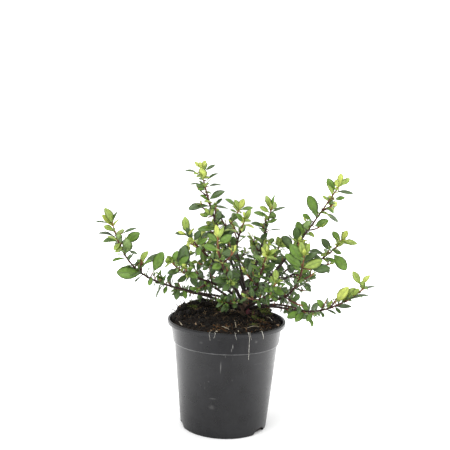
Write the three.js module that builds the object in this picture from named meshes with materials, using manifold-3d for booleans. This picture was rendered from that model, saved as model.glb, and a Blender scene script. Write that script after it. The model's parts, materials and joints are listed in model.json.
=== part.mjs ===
// A young escallonia in a round nursery pot: the pot, its soil, a short woody stem,
// tapering boughs and, at the end of each bough, a mass of leafy twigs.
// Millimetres, +Z up. The origin is the middle of the pot's flat underside, and -Y is the front.
import * as THREE from "three";
import { OBB } from "three/addons/math/OBB.js";
import { mergeVertices } from "three/addons/utils/BufferGeometryUtils.js";
import Module from "manifold-3d";

const manifold = await Module();
manifold.setup();

// Colour and roughness of each kind of piece
const FINISHES = {
  pot: { color: 0x47474a, roughness: 0.5 },
  soil: { color: 0x2b221b, roughness: 0.95 },
  bark: { color: 0x4b372c, roughness: 0.9 },
  bough: { color: 0x5a3f33, roughness: 0.85 },
  foliage: { color: 0x5f8a3c, roughness: 0.6 },
};

// Driving dimensions of the pot
const GAP = 0.3;
const MERGE_DISTANCE = 1e-4;
const POT_HEIGHT = 121.4;
const RIM_RADIUS = 66;
const RIM_DEPTH = 5;
const RIM_INNER_RADIUS = 63.8;
const RIM_ROUNDING = 1.2;
const COLLAR_TOP_RADIUS = 62;
const COLLAR_FOOT_RADIUS = 59.4;
const COLLAR_FOOT_HEIGHT = 97.2;
const LEDGE = 1.7;
const FOOT_RADIUS = 48.5;
const FOOT_BEVEL = 2;
const WALL = 1.4;
const FLOOR = 2;
const POT_SIDES = 24;
const POT_TURN = THREE.MathUtils.degToRad(3.7);
const CUT_SIDES = 12;
const DRAIN_ANGLES = [56, 170, 284];
const DRAIN_WIDTH = 20;
const DRAIN_HEIGHT = 6;
const DRAIN_DEPTH = 8;

// Driving dimensions of the soil, which is heaped a little behind the left of the middle
const SOIL_EDGE_HEIGHT = 118;
const SOIL_MOUND = 13;
const SOIL_MOUND_CENTRE = new THREE.Vector2(-14, 20);
const SOIL_MOUND_SPREAD = 40;
const SOIL_SLOPE = 0.9;
const SOIL_ROUGHNESS = 0.8;
const SOIL_LUMPS = { x: 0.31, y: 0.27, slantX: 0.17, slantY: 0.36, slantShare: 0.6 };
const SOIL_RINGS = 6;
const SOIL_EDGE_STEP = 0.2;

// Driving dimensions of the woody stem
const STEM_FOOT = new THREE.Vector2(18, 8);
const STEM_LEAN = new THREE.Vector2(2, 1);
const STEM_FOOT_HEIGHT = 126.5;
const STEM_HEIGHT = 25;
const STEM_RISES = [0, 1.5, 3.5, 7, 12, 18, STEM_HEIGHT];
const STEM_SIDES = 14;
const STEM_FOOT_RADIUS = 6.2;
const STEM_TOP_RADIUS = 4.6;
const ROOT_FLARE = 3.4;
const ROOT_FLARE_FADE = 8;
const SEAT_RADIUS = 11;
const SEAT_FADE = 9;
const SEAT_DEPTH = 10;
const TIER_HEIGHTS = { low: 5.5, mid: 12.5, high: 19.5, top: STEM_HEIGHT };
const TOP_BOUGH_OFFSET = 2.5;

// Driving dimensions of the limbs, twigs and leaves
const LIMB_FOOT_RADIUS = 1.6;
const LIMB_TIP_RADIUS = 0.5;
const BOUGH_SIDES = 6;
const BOUGH_STEP = 11;
const MASS_STEP = 13;
const FEWEST_STEPS = 3;
const SHOOT_SWEEP = 0.36;
const TWIG_SIDES = 3;
const TWIG_FATTER = 1.25;
const TWIG_RADIUS = 0.7;
const LEAF_WIDTH = 0.5;
const LEAF_WIDEST = 0.54;
const LEAF_TIP_WIDTH = 0.2;
const LEAF_THICKNESS = 0.7;
const LEAF_KEEL = 0.28;
const LEAF_SINK = 0.4;
const LEAF_SPOTS = [0.3, LEAF_WIDEST, 0.8, 1];
const LEAF_TURN = THREE.MathUtils.degToRad(137.5);
const LEAF_LIFT = 0.12;
const LIGHT_FROM_ABOVE = 0.45;
const LIGHT_ALONG_TWIG = 0.75;
const LEAF_TILT = 2.4;
const LEAF_ROOT = 0.35;
const LEAF_SPREAD = { low: 76, high: 50, side: 62, tip: 22, tipStep: 11 };
const LEAF_SPREAD_RANGE = 14;
const LEAF_SIZE = { least: 0.8, range: 0.36, lostAtTip: 0.22 };
const TWIG_LEAF_SIZE = { least: 0.66, range: 0.26, atTip: 0.8 };
const TIP_LEAF_SIZE = { least: 0.62, step: 0.1 };
const LEAF_SPACING = 9.2;
const TWIG_LEAF_SPACING = 8.5;
const TIP_LEAVES = 3;
const TWIG_TIP_LEAVES = 2;
const TIP_LEAF_STEP = 2.6;
const SMALLER_TRIES = [1, 0.8, 0.65];
const TWIG_EVERY = 3;
const TWIG_LAST = 0.75;
const TWIG_LENGTH = { low: 30, high: 15, least: 0.75, range: 0.5 };
const TWIG_TAPER = 0.35;
const TWIG_STEPS = 2;
const TWIG_LEAN = { along: 0.6, up: 0.2 };
const TWIG_BEND = { at: 0.5, rest: 0.4, least: 0.12, range: 0.16 };
const TWIG_FREE_FROM = 0.1;
const TWIG_FIRST_LEAF = 0.8;
const MASS_FREE_FROM = 2;
const CLEARANCE = 0.5;

// Each shoot leaves the woody stem at a tier and runs to its tip.
// heading and reach say where the tip stands, seen from above: degrees from +X, and mm from the stem.
// height is the tip's height, launch and finish are the slopes of the two ends in degrees.
// turn and veer swing those ends sideways, and sweep is how far each end holds its direction.
// bare is the share of the shoot that is a bough, leaf is the length of its full-grown leaves,
// bushy scales its side twigs, and seed picks one of the many ways it could have grown.
const SHOOTS = [
  {
    name: "back_tall", tier: "top", heading: 163, reach: 57, height: 287, launch: 64, finish: 77,
    bare: 0.34, leaf: 21, bushy: 0.8, seed: 190,
  },
  {
    name: "centre_right", tier: "top", heading: 23, reach: 29, height: 247, launch: 70, finish: 76,
    bare: 0.3, leaf: 20, bushy: 0.7, seed: 158,
  },
  {
    name: "centre", tier: "top", heading: 254, reach: 14, height: 233, launch: 58, finish: 48,
    veer: 38, sweep: 0.7, bare: 0.3, leaf: 19, seed: 444,
  },
  {
    name: "right_tall", tier: "high", heading: 351, reach: 99, height: 275, launch: 46, finish: 58,
    bare: 0.36, leaf: 22, bushy: 0.6, seed: 108,
  },
  {
    name: "left_upper", tier: "high", heading: 203, reach: 73, height: 221, launch: 66, finish: 56,
    turn: 9, veer: -12, bare: 0.32, leaf: 21, seed: 893,
  },
  {
    name: "back_bent", tier: "high", heading: 100, reach: 52, height: 238, launch: 45, finish: 35,
    veer: -45, sweep: 0.65, bare: 0.34, leaf: 20, seed: 864,
  },
  {
    name: "front_middle", tier: "high", heading: 289, reach: 62, height: 204, launch: 15, finish: 60,
    veer: 12, sweep: 0.46, bare: 0.32, leaf: 19, seed: 655,
  },
  {
    name: "back_upright", tier: "high", heading: 62, reach: 88, height: 194, launch: 40, finish: 66,
    bare: 0.36, leaf: 21, seed: 620,
  },
  {
    name: "right_middle", tier: "mid", heading: 4, reach: 108, height: 213, launch: 47, finish: 56,
    veer: -12, bare: 0.34, leaf: 24, seed: 108,
  },
  {
    name: "front_left", tier: "mid", heading: 245, reach: 76, height: 222, launch: 43, finish: 88,
    turn: 15, bare: 0.34, leaf: 20, seed: 150,
  },
  {
    name: "left_low", tier: "mid", heading: 208, reach: 92, height: 190, launch: 60, finish: 50,
    veer: 12, bare: 0.32, leaf: 23, seed: 365,
  },
  {
    name: "left_rim", tier: "mid", heading: 172, reach: 80, height: 148, launch: 16, finish: 6,
    bare: 0.4, leaf: 19, seed: 244,
  },
  {
    name: "back_left", tier: "mid", heading: 127, reach: 88, height: 200, launch: 66, finish: 48,
    bare: 0.36, leaf: 21, seed: 206,
  },
  {
    name: "back_right", tier: "mid", heading: 42, reach: 88, height: 190, launch: 42, finish: 60,
    bare: 0.36, leaf: 21, seed: 393,
  },
  {
    name: "back_far", tier: "mid", heading: 82, reach: 114, height: 176, launch: 30, finish: 45,
    bare: 0.38, leaf: 22, seed: 36,
  },
  {
    name: "front_right", tier: "mid", heading: 314, reach: 84, height: 205, launch: 14, finish: 86,
    sweep: 0.5, bare: 0.38, leaf: 21, seed: 595,
  },
  {
    name: "left_arch", tier: "low", heading: 189, reach: 150, height: 229, launch: 28, finish: 76,
    turn: 24, sweep: 0.52, bare: 0.42, leaf: 25, bushy: 0.6, seed: 634,
  },
  {
    name: "front_short", tier: "low", heading: 236, reach: 46, height: 147, launch: 46, finish: 20,
    bare: 0.34, leaf: 19, seed: 414,
  },
  {
    name: "front_low", tier: "low", heading: 288, reach: 92, height: 180, launch: 36, finish: 50,
    bare: 0.36, leaf: 20, seed: 590,
  },
  {
    name: "right_low", tier: "low", heading: 331, reach: 140, height: 174, launch: 22, finish: 43,
    turn: -30, veer: 14, sweep: 0.58, bare: 0.42, leaf: 24, bushy: 0.6, seed: 332,
  },
  {
    name: "right_rim", tier: "low", heading: 2, reach: 78, height: 126, launch: 20, finish: -24,
    bare: 0.4, leaf: 19, seed: 493,
  },
  {
    name: "back_right_low", tier: "low", heading: 34, reach: 94, height: 158, launch: 30, finish: 32,
    bare: 0.38, leaf: 22, seed: 305,
  },
  {
    name: "back_low", tier: "low", heading: 104, reach: 110, height: 160, launch: 40, finish: 42,
    bare: 0.38, leaf: 22, seed: 636,
  },
  {
    name: "back_left_low", tier: "low", heading: 146, reach: 96, height: 172, launch: 42, finish: 40,
    bare: 0.38, leaf: 22, seed: 593,
  },
];

const UP = new THREE.Vector3(0, 0, 1);

// The same seed always gives the same plant.
function seededRandom(seed) {
  let state = seed;
  return () => {
    state = (state + 0x6d2b79f5) | 0;
    let mixed = Math.imul(state ^ (state >>> 15), 1 | state);
    mixed = (mixed + Math.imul(mixed ^ (mixed >>> 7), 61 | mixed)) ^ mixed;
    return ((mixed ^ (mixed >>> 14)) >>> 0) / 4294967296;
  };
}

function solidOf(geometry) {
  const bare = new THREE.BufferGeometry();
  bare.setAttribute("position", geometry.getAttribute("position"));
  bare.setIndex(geometry.getIndex());
  const merged = mergeVertices(bare, MERGE_DISTANCE);
  return new manifold.Manifold(
    new manifold.Mesh({
      numProp: 3,
      vertProperties: new Float32Array(merged.attributes.position.array),
      triVerts: new Uint32Array(merged.index.array),
    }),
  );
}

function geometryOf(solid) {
  const mesh = solid.getMesh();
  const geometry = new THREE.BufferGeometry();
  geometry.setAttribute("position", new THREE.BufferAttribute(mesh.vertProperties, mesh.numProp));
  geometry.setIndex(new THREE.BufferAttribute(mesh.triVerts, 1));
  geometry.computeVertexNormals();
  return geometry;
}

function namedMesh(name, geometry, finish) {
  const material = new THREE.MeshStandardMaterial({ ...finish, metalness: 0, flatShading: true });
  const mesh = new THREE.Mesh(geometry, material);
  mesh.name = name;
  return mesh;
}

// A direction from its compass heading and its slope, both in degrees
function direction(heading, slope) {
  const turn = THREE.MathUtils.degToRad(heading);
  const lift = THREE.MathUtils.degToRad(slope);
  return new THREE.Vector3(
    Math.cos(turn) * Math.cos(lift),
    Math.sin(turn) * Math.cos(lift),
    Math.sin(lift),
  );
}

// Pot: a lathed shell with a flat underside, a stepped collar and an out-turned rim,
// its facets turned a little so that none of their corners lies on an axis.
// A wall is listed from the foot up, as radius and height.
function potWall() {
  return [
    [FOOT_RADIUS, FOOT_BEVEL],
    [COLLAR_FOOT_RADIUS - LEDGE, COLLAR_FOOT_HEIGHT - LEDGE],
    [COLLAR_FOOT_RADIUS, COLLAR_FOOT_HEIGHT],
    [COLLAR_TOP_RADIUS, POT_HEIGHT - RIM_DEPTH],
  ];
}

function insideRadius(height) {
  const wall = potWall();
  for (let i = 1; i < wall.length; i++) {
    const [lowRadius, low] = wall[i - 1];
    const [highRadius, high] = wall[i];
    if (height <= high || i === wall.length - 1) {
      return THREE.MathUtils.mapLinear(height, low, high, lowRadius, highRadius) - WALL;
    }
  }
}

function makePot() {
  const rimFoot = POT_HEIGHT - RIM_DEPTH;
  const outside = potWall().map(([radius, height]) => new THREE.Vector2(radius, height));
  const inside = [rimFoot - WALL, COLLAR_FOOT_HEIGHT, COLLAR_FOOT_HEIGHT - LEDGE, FLOOR].map(
    (height) => new THREE.Vector2(insideRadius(height), height),
  );
  const profile = [
    new THREE.Vector2(0, 0),
    new THREE.Vector2(FOOT_RADIUS - 0.5 * FOOT_BEVEL, 0),
    ...outside,
    new THREE.Vector2(RIM_RADIUS, rimFoot),
    new THREE.Vector2(RIM_RADIUS, POT_HEIGHT - RIM_ROUNDING),
    new THREE.Vector2(RIM_RADIUS - 0.5 * RIM_ROUNDING, POT_HEIGHT),
    new THREE.Vector2(RIM_INNER_RADIUS, POT_HEIGHT),
    new THREE.Vector2(RIM_INNER_RADIUS - RIM_ROUNDING, rimFoot + RIM_ROUNDING),
    ...inside,
    new THREE.Vector2(0, FLOOR),
  ];
  const shell = new THREE.LatheGeometry(profile, POT_SIDES).rotateX(Math.PI / 2).rotateZ(POT_TURN);
  let solid = solidOf(shell);
  for (const angle of DRAIN_ANGLES) {
    solid = solid.subtract(solidOf(drainArch(angle)));
  }
  return namedMesh("pot", geometryOf(solid), FINISHES.pot);
}

// An arch through the foot's corner, its angle counted from the front towards +X
function drainArch(angle) {
  const arch = new THREE.CylinderGeometry(DRAIN_WIDTH / 2, DRAIN_WIDTH / 2, 2 * DRAIN_DEPTH, CUT_SIDES);
  arch.scale(1, 1, DRAIN_HEIGHT / (DRAIN_WIDTH / 2));
  arch.translate(0, -FOOT_RADIUS, 0);
  return arch.rotateZ(THREE.MathUtils.degToRad(angle));
}

// Soil: a filling that stays clear of the wall, heaped in the middle, with a flat seat for the stem
function soilHeight(x, y) {
  const away = Math.hypot(x - SOIL_MOUND_CENTRE.x, y - SOIL_MOUND_CENTRE.y) / SOIL_MOUND_SPREAD;
  const mound = SOIL_EDGE_HEIGHT + SOIL_MOUND * Math.exp(-0.5 * away * away);
  const slump = SOIL_EDGE_HEIGHT + SOIL_SLOPE * (COLLAR_TOP_RADIUS - Math.hypot(x, y));
  const lumps = Math.sin(SOIL_LUMPS.x * x + 1) * Math.cos(SOIL_LUMPS.y * y);
  const slanting = SOIL_LUMPS.slantShare * Math.sin(SOIL_LUMPS.slantX * x - SOIL_LUMPS.slantY * y);
  const loose = Math.min(mound, slump) + SOIL_ROUGHNESS * (lumps + slanting);
  const fromStem = Math.hypot(x - STEM_FOOT.x, y - STEM_FOOT.y);
  return THREE.MathUtils.lerp(
    STEM_FOOT_HEIGHT + 1,
    loose,
    THREE.MathUtils.smoothstep(fromStem, SEAT_RADIUS, SEAT_RADIUS + SEAT_FADE),
  );
}

function makeSoil() {
  const sideHeights = [FLOOR + GAP, COLLAR_FOOT_HEIGHT - LEDGE, COLLAR_FOOT_HEIGHT];
  const sideTop = POT_HEIGHT - RIM_DEPTH - WALL;
  const rings = sideHeights.map((height) => ({ radius: insideRadius(height) - GAP, height }));
  const topRadius = insideRadius(sideTop) - GAP;
  rings.push({ radius: topRadius, height: sideTop });
  for (let i = 0; i < SOIL_RINGS; i++) {
    rings.push({ radius: (topRadius - SOIL_EDGE_STEP) * (1 - i / SOIL_RINGS) });
  }
  const positions = [0, 0, FLOOR + GAP];
  for (const { radius, height } of rings) {
    for (let j = 0; j < POT_SIDES; j++) {
      const angle = POT_TURN + (j / POT_SIDES) * 2 * Math.PI;
      const x = radius * Math.cos(angle);
      const y = radius * Math.sin(angle);
      positions.push(x, y, height ?? soilHeight(x, y));
    }
  }
  positions.push(0, 0, soilHeight(0, 0));
  const last = positions.length / 3 - 1;
  const index = [];
  const corner = (ring, j) => 1 + ring * POT_SIDES + (j % POT_SIDES);
  for (let j = 0; j < POT_SIDES; j++) {
    index.push(0, corner(0, j + 1), corner(0, j));
    for (let ring = 1; ring < rings.length; ring++) {
      const [a, b] = [corner(ring - 1, j), corner(ring - 1, j + 1)];
      const [c, d] = [corner(ring, j), corner(ring, j + 1)];
      index.push(a, b, d, a, d, c);
    }
    index.push(corner(rings.length - 1, j), corner(rings.length - 1, j + 1), last);
  }
  const filling = new THREE.BufferGeometry();
  filling.setAttribute("position", new THREE.Float32BufferAttribute(positions, 3));
  filling.setIndex(index);
  const seat = new THREE.CylinderGeometry(SEAT_RADIUS, SEAT_RADIUS, SEAT_DEPTH, CUT_SIDES);
  seat.rotateX(Math.PI / 2);
  seat.translate(STEM_FOOT.x, STEM_FOOT.y, STEM_FOOT_HEIGHT - GAP + SEAT_DEPTH / 2);
  const soil = solidOf(filling).subtract(solidOf(seat));
  return namedMesh("soil", geometryOf(soil), FINISHES.soil);
}

// Woody stem: lathed with a root flare at its flat foot, then leaned over by a shear
function stemRadius(rise) {
  const share = rise / STEM_HEIGHT;
  const flare = ROOT_FLARE * Math.exp(-ROOT_FLARE_FADE * share);
  return THREE.MathUtils.lerp(STEM_FOOT_RADIUS, STEM_TOP_RADIUS, share) + flare;
}

function stemAxis(rise) {
  const share = rise / STEM_HEIGHT;
  return new THREE.Vector3(
    STEM_FOOT.x + STEM_LEAN.x * share,
    STEM_FOOT.y + STEM_LEAN.y * share,
    STEM_FOOT_HEIGHT + rise,
  );
}

function makeStem() {
  const outline = STEM_RISES.map((rise) => new THREE.Vector2(stemRadius(rise), rise));
  const profile = [new THREE.Vector2(0, 0), ...outline, new THREE.Vector2(0, STEM_HEIGHT)];
  const geometry = new THREE.LatheGeometry(profile, STEM_SIDES).rotateX(Math.PI / 2);
  const shear = new THREE.Matrix4().makeShear(
    0,
    0,
    0,
    0,
    STEM_LEAN.x / STEM_HEIGHT,
    STEM_LEAN.y / STEM_HEIGHT,
  );
  geometry.applyMatrix4(shear);
  geometry.translate(STEM_FOOT.x, STEM_FOOT.y, STEM_FOOT_HEIGHT);
  return namedMesh("woody_stem", geometry, FINISHES.bark);
}

// Shoots: the curve that a bough and its mass share
function shootCurve(shoot) {
  const { tier, heading, reach, height, launch, finish, turn = 0, veer = 0 } = shoot;
  const rise = TIER_HEIGHTS[tier];
  const outward = direction(heading, 0);
  const start = stemAxis(rise);
  const first = direction(heading + turn, launch);
  const seatNormal = tier === "top" ? UP : outward;
  const footOverhang = LIMB_FOOT_RADIUS * Math.sqrt(1 - first.dot(seatNormal) ** 2);
  start.addScaledVector(outward, tier === "top" ? TOP_BOUGH_OFFSET : stemRadius(rise));
  start.addScaledVector(seatNormal, GAP + footOverhang);
  const centre = stemAxis(STEM_HEIGHT);
  const tip = new THREE.Vector3(centre.x, centre.y, 0).addScaledVector(outward, reach);
  tip.z = height;
  const hold = (shoot.sweep ?? SHOOT_SWEEP) * start.distanceTo(tip);
  return new THREE.CubicBezierCurve3(
    start,
    start.clone().addScaledVector(first, hold),
    tip.clone().addScaledVector(direction(heading + veer, finish), -hold),
    tip,
  );
}

// Unit vectors along a limb and across it
function frameAt(curve, share, reference) {
  const along = curve.getTangentAt(share);
  const side = reference.clone().addScaledVector(along, -along.dot(reference)).normalize();
  const over = new THREE.Vector3().crossVectors(along, side);
  return { along, side, over };
}

// A place on the straight pieces that a limb is made of
function placeOn({ curve, from, steps }, share) {
  const piece = Math.min(Math.floor(((share - from) / (1 - from)) * steps), steps - 1);
  const [start, end] = [piece, piece + 1].map((k) => THREE.MathUtils.lerp(from, 1, k / steps));
  const within = (share - start) / (end - start);
  return curve.getPointAt(start).lerp(curve.getPointAt(end), within);
}

// A closed tapering limb: a cylinder bent along a stretch of a curve
function limbGeometry(curve, from, to, radiusAt, sides, steps, reference) {
  const geometry = new THREE.CylinderGeometry(1, 1, 1, sides, steps);
  const position = geometry.getAttribute("position");
  for (let i = 0; i < position.count; i++) {
    const share = THREE.MathUtils.lerp(from, to, position.getY(i) + 0.5);
    const { side, over } = frameAt(curve, share, reference);
    const radius = radiusAt(share);
    const point = curve.getPointAt(share);
    point.addScaledVector(over, radius * position.getX(i));
    point.addScaledVector(side, radius * position.getZ(i));
    position.setXYZ(i, point.x, point.y, point.z);
  }
  return geometry;
}

// A leaf lies along +X with its flat blade facing +Z, widest past its middle, with a blunt tip.
// The midrib makes a keel under the blade, deepest near the root.
function leafGeometry({ base, along, face, length }) {
  const half = 0.5 * LEAF_WIDTH * length;
  const blunt = 0.5 * LEAF_TIP_WIDTH * length;
  const widest = LEAF_WIDEST * length;
  const corners = [
    [-LEAF_SINK, 0, 0],
    [widest, half, 0],
    [length, blunt, 0],
    [length, -blunt, 0],
    [widest, -half, 0],
    [LEAF_KEEL * length, 0, -LEAF_THICKNESS],
  ];
  const geometry = new THREE.BufferGeometry();
  geometry.setAttribute("position", new THREE.Float32BufferAttribute(corners.flat(), 3));
  geometry.setIndex([0, 2, 1, 0, 3, 2, 0, 4, 3, 0, 1, 5, 1, 2, 5, 2, 3, 5, 3, 4, 5, 4, 0, 5]);
  const across = new THREE.Vector3().crossVectors(face, along);
  geometry.applyMatrix4(new THREE.Matrix4().makeBasis(along, across, face).setPosition(base));
  return geometry;
}

// Room: boxes round every limb, twig and leaf, so that no mass reaches into another's space
const taken = [];

function boxAround(centre, half, along, face) {
  const across = new THREE.Vector3().crossVectors(face, along);
  const turn = new THREE.Matrix3().setFromMatrix4(new THREE.Matrix4().makeBasis(along, across, face));
  return new OBB(centre, half, turn);
}

function boxesAlong(curve, from, to, radiusAt, steps, reference) {
  const boxes = [];
  for (let i = 0; i < steps; i++) {
    const shares = [i, i + 1].map((k) => THREE.MathUtils.lerp(from, to, k / steps));
    const [start, end] = shares.map((share) => curve.getPointAt(share));
    const radius = radiusAt(shares[0]);
    const along = end.clone().sub(start).normalize();
    const face = reference.clone().addScaledVector(along, -along.dot(reference)).normalize();
    const half = new THREE.Vector3(0.5 * start.distanceTo(end), radius, radius);
    boxes.push(boxAround(start.add(end).multiplyScalar(0.5), half, along, face));
  }
  return boxes;
}

// The box round a leaf, or round the part of it beyond a share of its length
function leafBox({ base, along, face, length }, beyond = 0) {
  const half = new THREE.Vector3(1 - beyond, LEAF_WIDTH, 0).multiplyScalar(0.5 * length);
  half.z = 0.5 * LEAF_THICKNESS;
  const middle = base.clone().addScaledVector(along, 0.5 * (1 + beyond) * length);
  return boxAround(middle.addScaledVector(face, -half.z), half, along, face);
}

function isClear(box, owner) {
  const grown = box.clone();
  grown.halfSize.addScalar(CLEARANCE);
  return taken.every((other) => other.owner === owner || !grown.intersectsOBB(other.box));
}

function take(boxes, owner) {
  boxes.forEach((box) => taken.push({ box, owner }));
}

function clearsPot(point) {
  const fromMiddle = Math.hypot(point.x, point.y);
  if (fromMiddle > RIM_RADIUS + CLEARANCE) return true;
  if (fromMiddle > COLLAR_TOP_RADIUS - 2 * WALL && point.z < POT_HEIGHT + CLEARANCE) return false;
  return point.z > soilHeight(point.x, point.y) + 2 * CLEARANCE;
}

function leafClearsPot({ base, along, face, length }) {
  const across = new THREE.Vector3().crossVectors(face, along);
  const half = 0.5 * LEAF_WIDTH * length;
  return LEAF_SPOTS.every((share) =>
    [-half, 0, half].every((off) =>
      clearsPot(base.clone().addScaledVector(along, share * length).addScaledVector(across, off)),
    ),
  );
}

// Growth: leaves stand round a twig by the golden angle, each turned to the light
function leafOn(twig, share, azimuth, spread, length, random) {
  const { along, side, over } = frameAt(twig.curve, share, twig.reference);
  const lean = THREE.MathUtils.degToRad(spread);
  const outward = side.multiplyScalar(Math.cos(azimuth)).addScaledVector(over, Math.sin(azimuth));
  const leafAlong = along.clone().multiplyScalar(Math.cos(lean)).addScaledVector(outward, Math.sin(lean));
  leafAlong.addScaledVector(UP, LEAF_LIFT).normalize();
  const light = UP.clone().multiplyScalar(LIGHT_FROM_ABOVE).addScaledVector(along, LIGHT_ALONG_TWIG);
  light.x += LEAF_TILT * (random() - 0.5);
  light.y += LEAF_TILT * (random() - 0.5);
  const face = light.addScaledVector(leafAlong, -light.dot(leafAlong)).normalize();
  return { base: placeOn(twig, share), along: leafAlong, face, length };
}

function leafFits(mass, leaf) {
  const outer = leafBox(leaf, LEAF_ROOT);
  const free = !mass.leaves.some((other) => outer.intersectsOBB(leafBox(other, LEAF_ROOT)));
  return free && leafClearsPot(leaf) && isClear(leafBox(leaf), mass.name);
}

// A leaf that finds no room is tried smaller, and then skipped.
function addLeaf(mass, leaf) {
  const tries = SMALLER_TRIES.map((scale) => ({ ...leaf, length: scale * leaf.length }));
  const fitting = tries.find((smaller) => leafFits(mass, smaller));
  if (!fitting) return;
  take([leafBox(fitting)], mass.name);
  mass.leaves.push(fitting);
}

function addTipLeaves(mass, twig, count, length, random) {
  for (let k = 0; k < count; k++) {
    const share = 1 - (TIP_LEAF_STEP * k) / twig.curve.getLength();
    const spread = LEAF_SPREAD.tip + LEAF_SPREAD.tipStep * k;
    const size = length * (TIP_LEAF_SIZE.least + TIP_LEAF_SIZE.step * k);
    addLeaf(mass, leafOn(twig, share, k * LEAF_TURN, spread, size, random));
  }
}

function sideTwig(mass, share, azimuth, length, random) {
  const { along, side, over } = frameAt(mass.curve, share, mass.reference);
  const outward = side.multiplyScalar(Math.cos(azimuth)).addScaledVector(over, Math.sin(azimuth));
  const heading = along.multiplyScalar(TWIG_LEAN.along).add(outward).addScaledVector(UP, TWIG_LEAN.up);
  heading.normalize();
  const start = placeOn(mass, share);
  const middle = start.clone().addScaledVector(heading, TWIG_BEND.at * length);
  const end = middle.clone().addScaledVector(heading, TWIG_BEND.rest * length);
  end.addScaledVector(UP, (TWIG_BEND.least + TWIG_BEND.range * random()) * length);
  const curve = new THREE.QuadraticBezierCurve3(start, middle, end);
  const reference = new THREE.Vector3().crossVectors(heading, UP).normalize();
  const radiusAt = (at) => TWIG_RADIUS * (1 - TWIG_TAPER * at);
  return { curve, reference, from: 0, radiusAt, steps: TWIG_STEPS };
}

function growMass(mass, shoot, random) {
  const length = mass.curve.getLength() * (1 - mass.from);
  const count = Math.round(length / LEAF_SPACING);
  const firstAzimuth = random() * 2 * Math.PI;
  for (let k = 0; k < count; k++) {
    const done = (k + 0.5) / count;
    const share = THREE.MathUtils.lerp(mass.from, 1, done);
    const azimuth = firstAzimuth + k * LEAF_TURN;
    const steady = THREE.MathUtils.lerp(LEAF_SPREAD.low, LEAF_SPREAD.high, done * done);
    const spread = steady + LEAF_SPREAD_RANGE * (random() - 0.5);
    const drawn = LEAF_SIZE.least + LEAF_SIZE.range * random();
    const size = shoot.leaf * drawn * (1 - LEAF_SIZE.lostAtTip * done * done);
    addLeaf(mass, leafOn(mass, share, azimuth, spread, size, random));
    const fullLength = THREE.MathUtils.lerp(TWIG_LENGTH.low, TWIG_LENGTH.high, done);
    const twigLength = (shoot.bushy ?? 1) * fullLength * (TWIG_LENGTH.least + TWIG_LENGTH.range * random());
    if (k % TWIG_EVERY === 1 && done < TWIG_LAST) {
      growTwig(mass, share, azimuth + 0.5 * Math.PI, twigLength, shoot.leaf, random);
    }
  }
  addTipLeaves(mass, mass, TIP_LEAVES, shoot.leaf, random);
}

function growTwig(mass, share, azimuth, length, leaf, random) {
  const twig = sideTwig(mass, share, azimuth, length, random);
  const boxes = boxesAlong(twig.curve, TWIG_FREE_FROM, 1, twig.radiusAt, twig.steps, twig.reference);
  const clear = boxes.every((box) => isClear(box, mass.name) && clearsPot(box.center));
  if (!clear || !clearsPot(twig.curve.getPointAt(1))) return;
  take(boxes, mass.name);
  mass.twigs.push(twig);
  const count = Math.floor(length / TWIG_LEAF_SPACING);
  for (let k = 1; k <= count; k++) {
    const along = (k + TWIG_FIRST_LEAF - 1) / (count + 2 * (1 - TWIG_FIRST_LEAF));
    const size = leaf * (TWIG_LEAF_SIZE.least + TWIG_LEAF_SIZE.range * random());
    addLeaf(mass, leafOn(twig, along, k * LEAF_TURN, LEAF_SPREAD.side, size, random));
  }
  addTipLeaves(mass, twig, TWIG_TIP_LEAVES, TWIG_LEAF_SIZE.atTip * leaf, random);
}

function limbRadius(share) {
  return THREE.MathUtils.lerp(LIMB_FOOT_RADIUS, LIMB_TIP_RADIUS, share);
}

function planShoot(shoot) {
  const curve = shootCurve(shoot);
  const run = curve.getPoint(1).sub(curve.getPoint(0));
  const reference = new THREE.Vector3().crossVectors(run, UP).normalize();
  const length = curve.getLength();
  const stepsFor = (share, step) => Math.max(FEWEST_STEPS, Math.round((length * share) / step));
  const bough = {
    name: `bough_${shoot.name}`,
    curve,
    reference,
    to: shoot.bare,
    steps: stepsFor(shoot.bare, BOUGH_STEP),
  };
  const from = shoot.bare + GAP / length;
  const mass = {
    name: `foliage_${shoot.name}`,
    curve,
    reference,
    from,
    radiusAt: limbRadius,
    steps: stepsFor(1 - from, MASS_STEP),
    twigs: [],
    leaves: [],
  };
  const free = from + MASS_FREE_FROM / length;
  take(boxesAlong(curve, 0, bough.to, limbRadius, bough.steps, reference), bough.name);
  take(boxesAlong(curve, free, 1, limbRadius, mass.steps, reference), mass.name);
  return { shoot, bough, mass };
}

function makeBough({ name, curve, reference, to, steps }) {
  const geometry = limbGeometry(curve, 0, to, limbRadius, BOUGH_SIDES, steps, reference);
  return namedMesh(name, geometryOf(solidOf(geometry)), FINISHES.bough);
}

function makeMass(mass) {
  const fat = (twig) => (share) => TWIG_FATTER * twig.radiusAt(share);
  const limbs = [mass, ...mass.twigs].map((twig) =>
    limbGeometry(twig.curve, twig.from, 1, fat(twig), TWIG_SIDES, twig.steps, twig.reference),
  );
  const pieces = [...limbs, ...mass.leaves.map(leafGeometry)];
  const joined = pieces.map(solidOf).reduce((whole, piece) => whole.add(piece));
  return namedMesh(mass.name, geometryOf(joined), FINISHES.foliage);
}

const plans = SHOOTS.map(planShoot);
plans.forEach(({ shoot, mass }) => growMass(mass, shoot, seededRandom(shoot.seed)));

const potGroup = new THREE.Group();
potGroup.add(makePot(), makeSoil());

const plantGroup = new THREE.Group();
plantGroup.add(makeStem());
for (const { bough, mass } of plans) {
  plantGroup.add(makeBough(bough), makeMass(mass));
}

const plant = new THREE.Group();
plant.add(potGroup, plantGroup);

export default plant;
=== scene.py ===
# %% [markdown]
# # A young escallonia in its nursery pot
#
# The measured model gives the pot, the soil, the woody stem, the boughs and a simple solid for each
# mass of leaves. This lesson dresses it: a moulded pot with its scuffs, damp compost with fibres and
# moss, bark on the limbs, and leaves down to the smallest.

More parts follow.
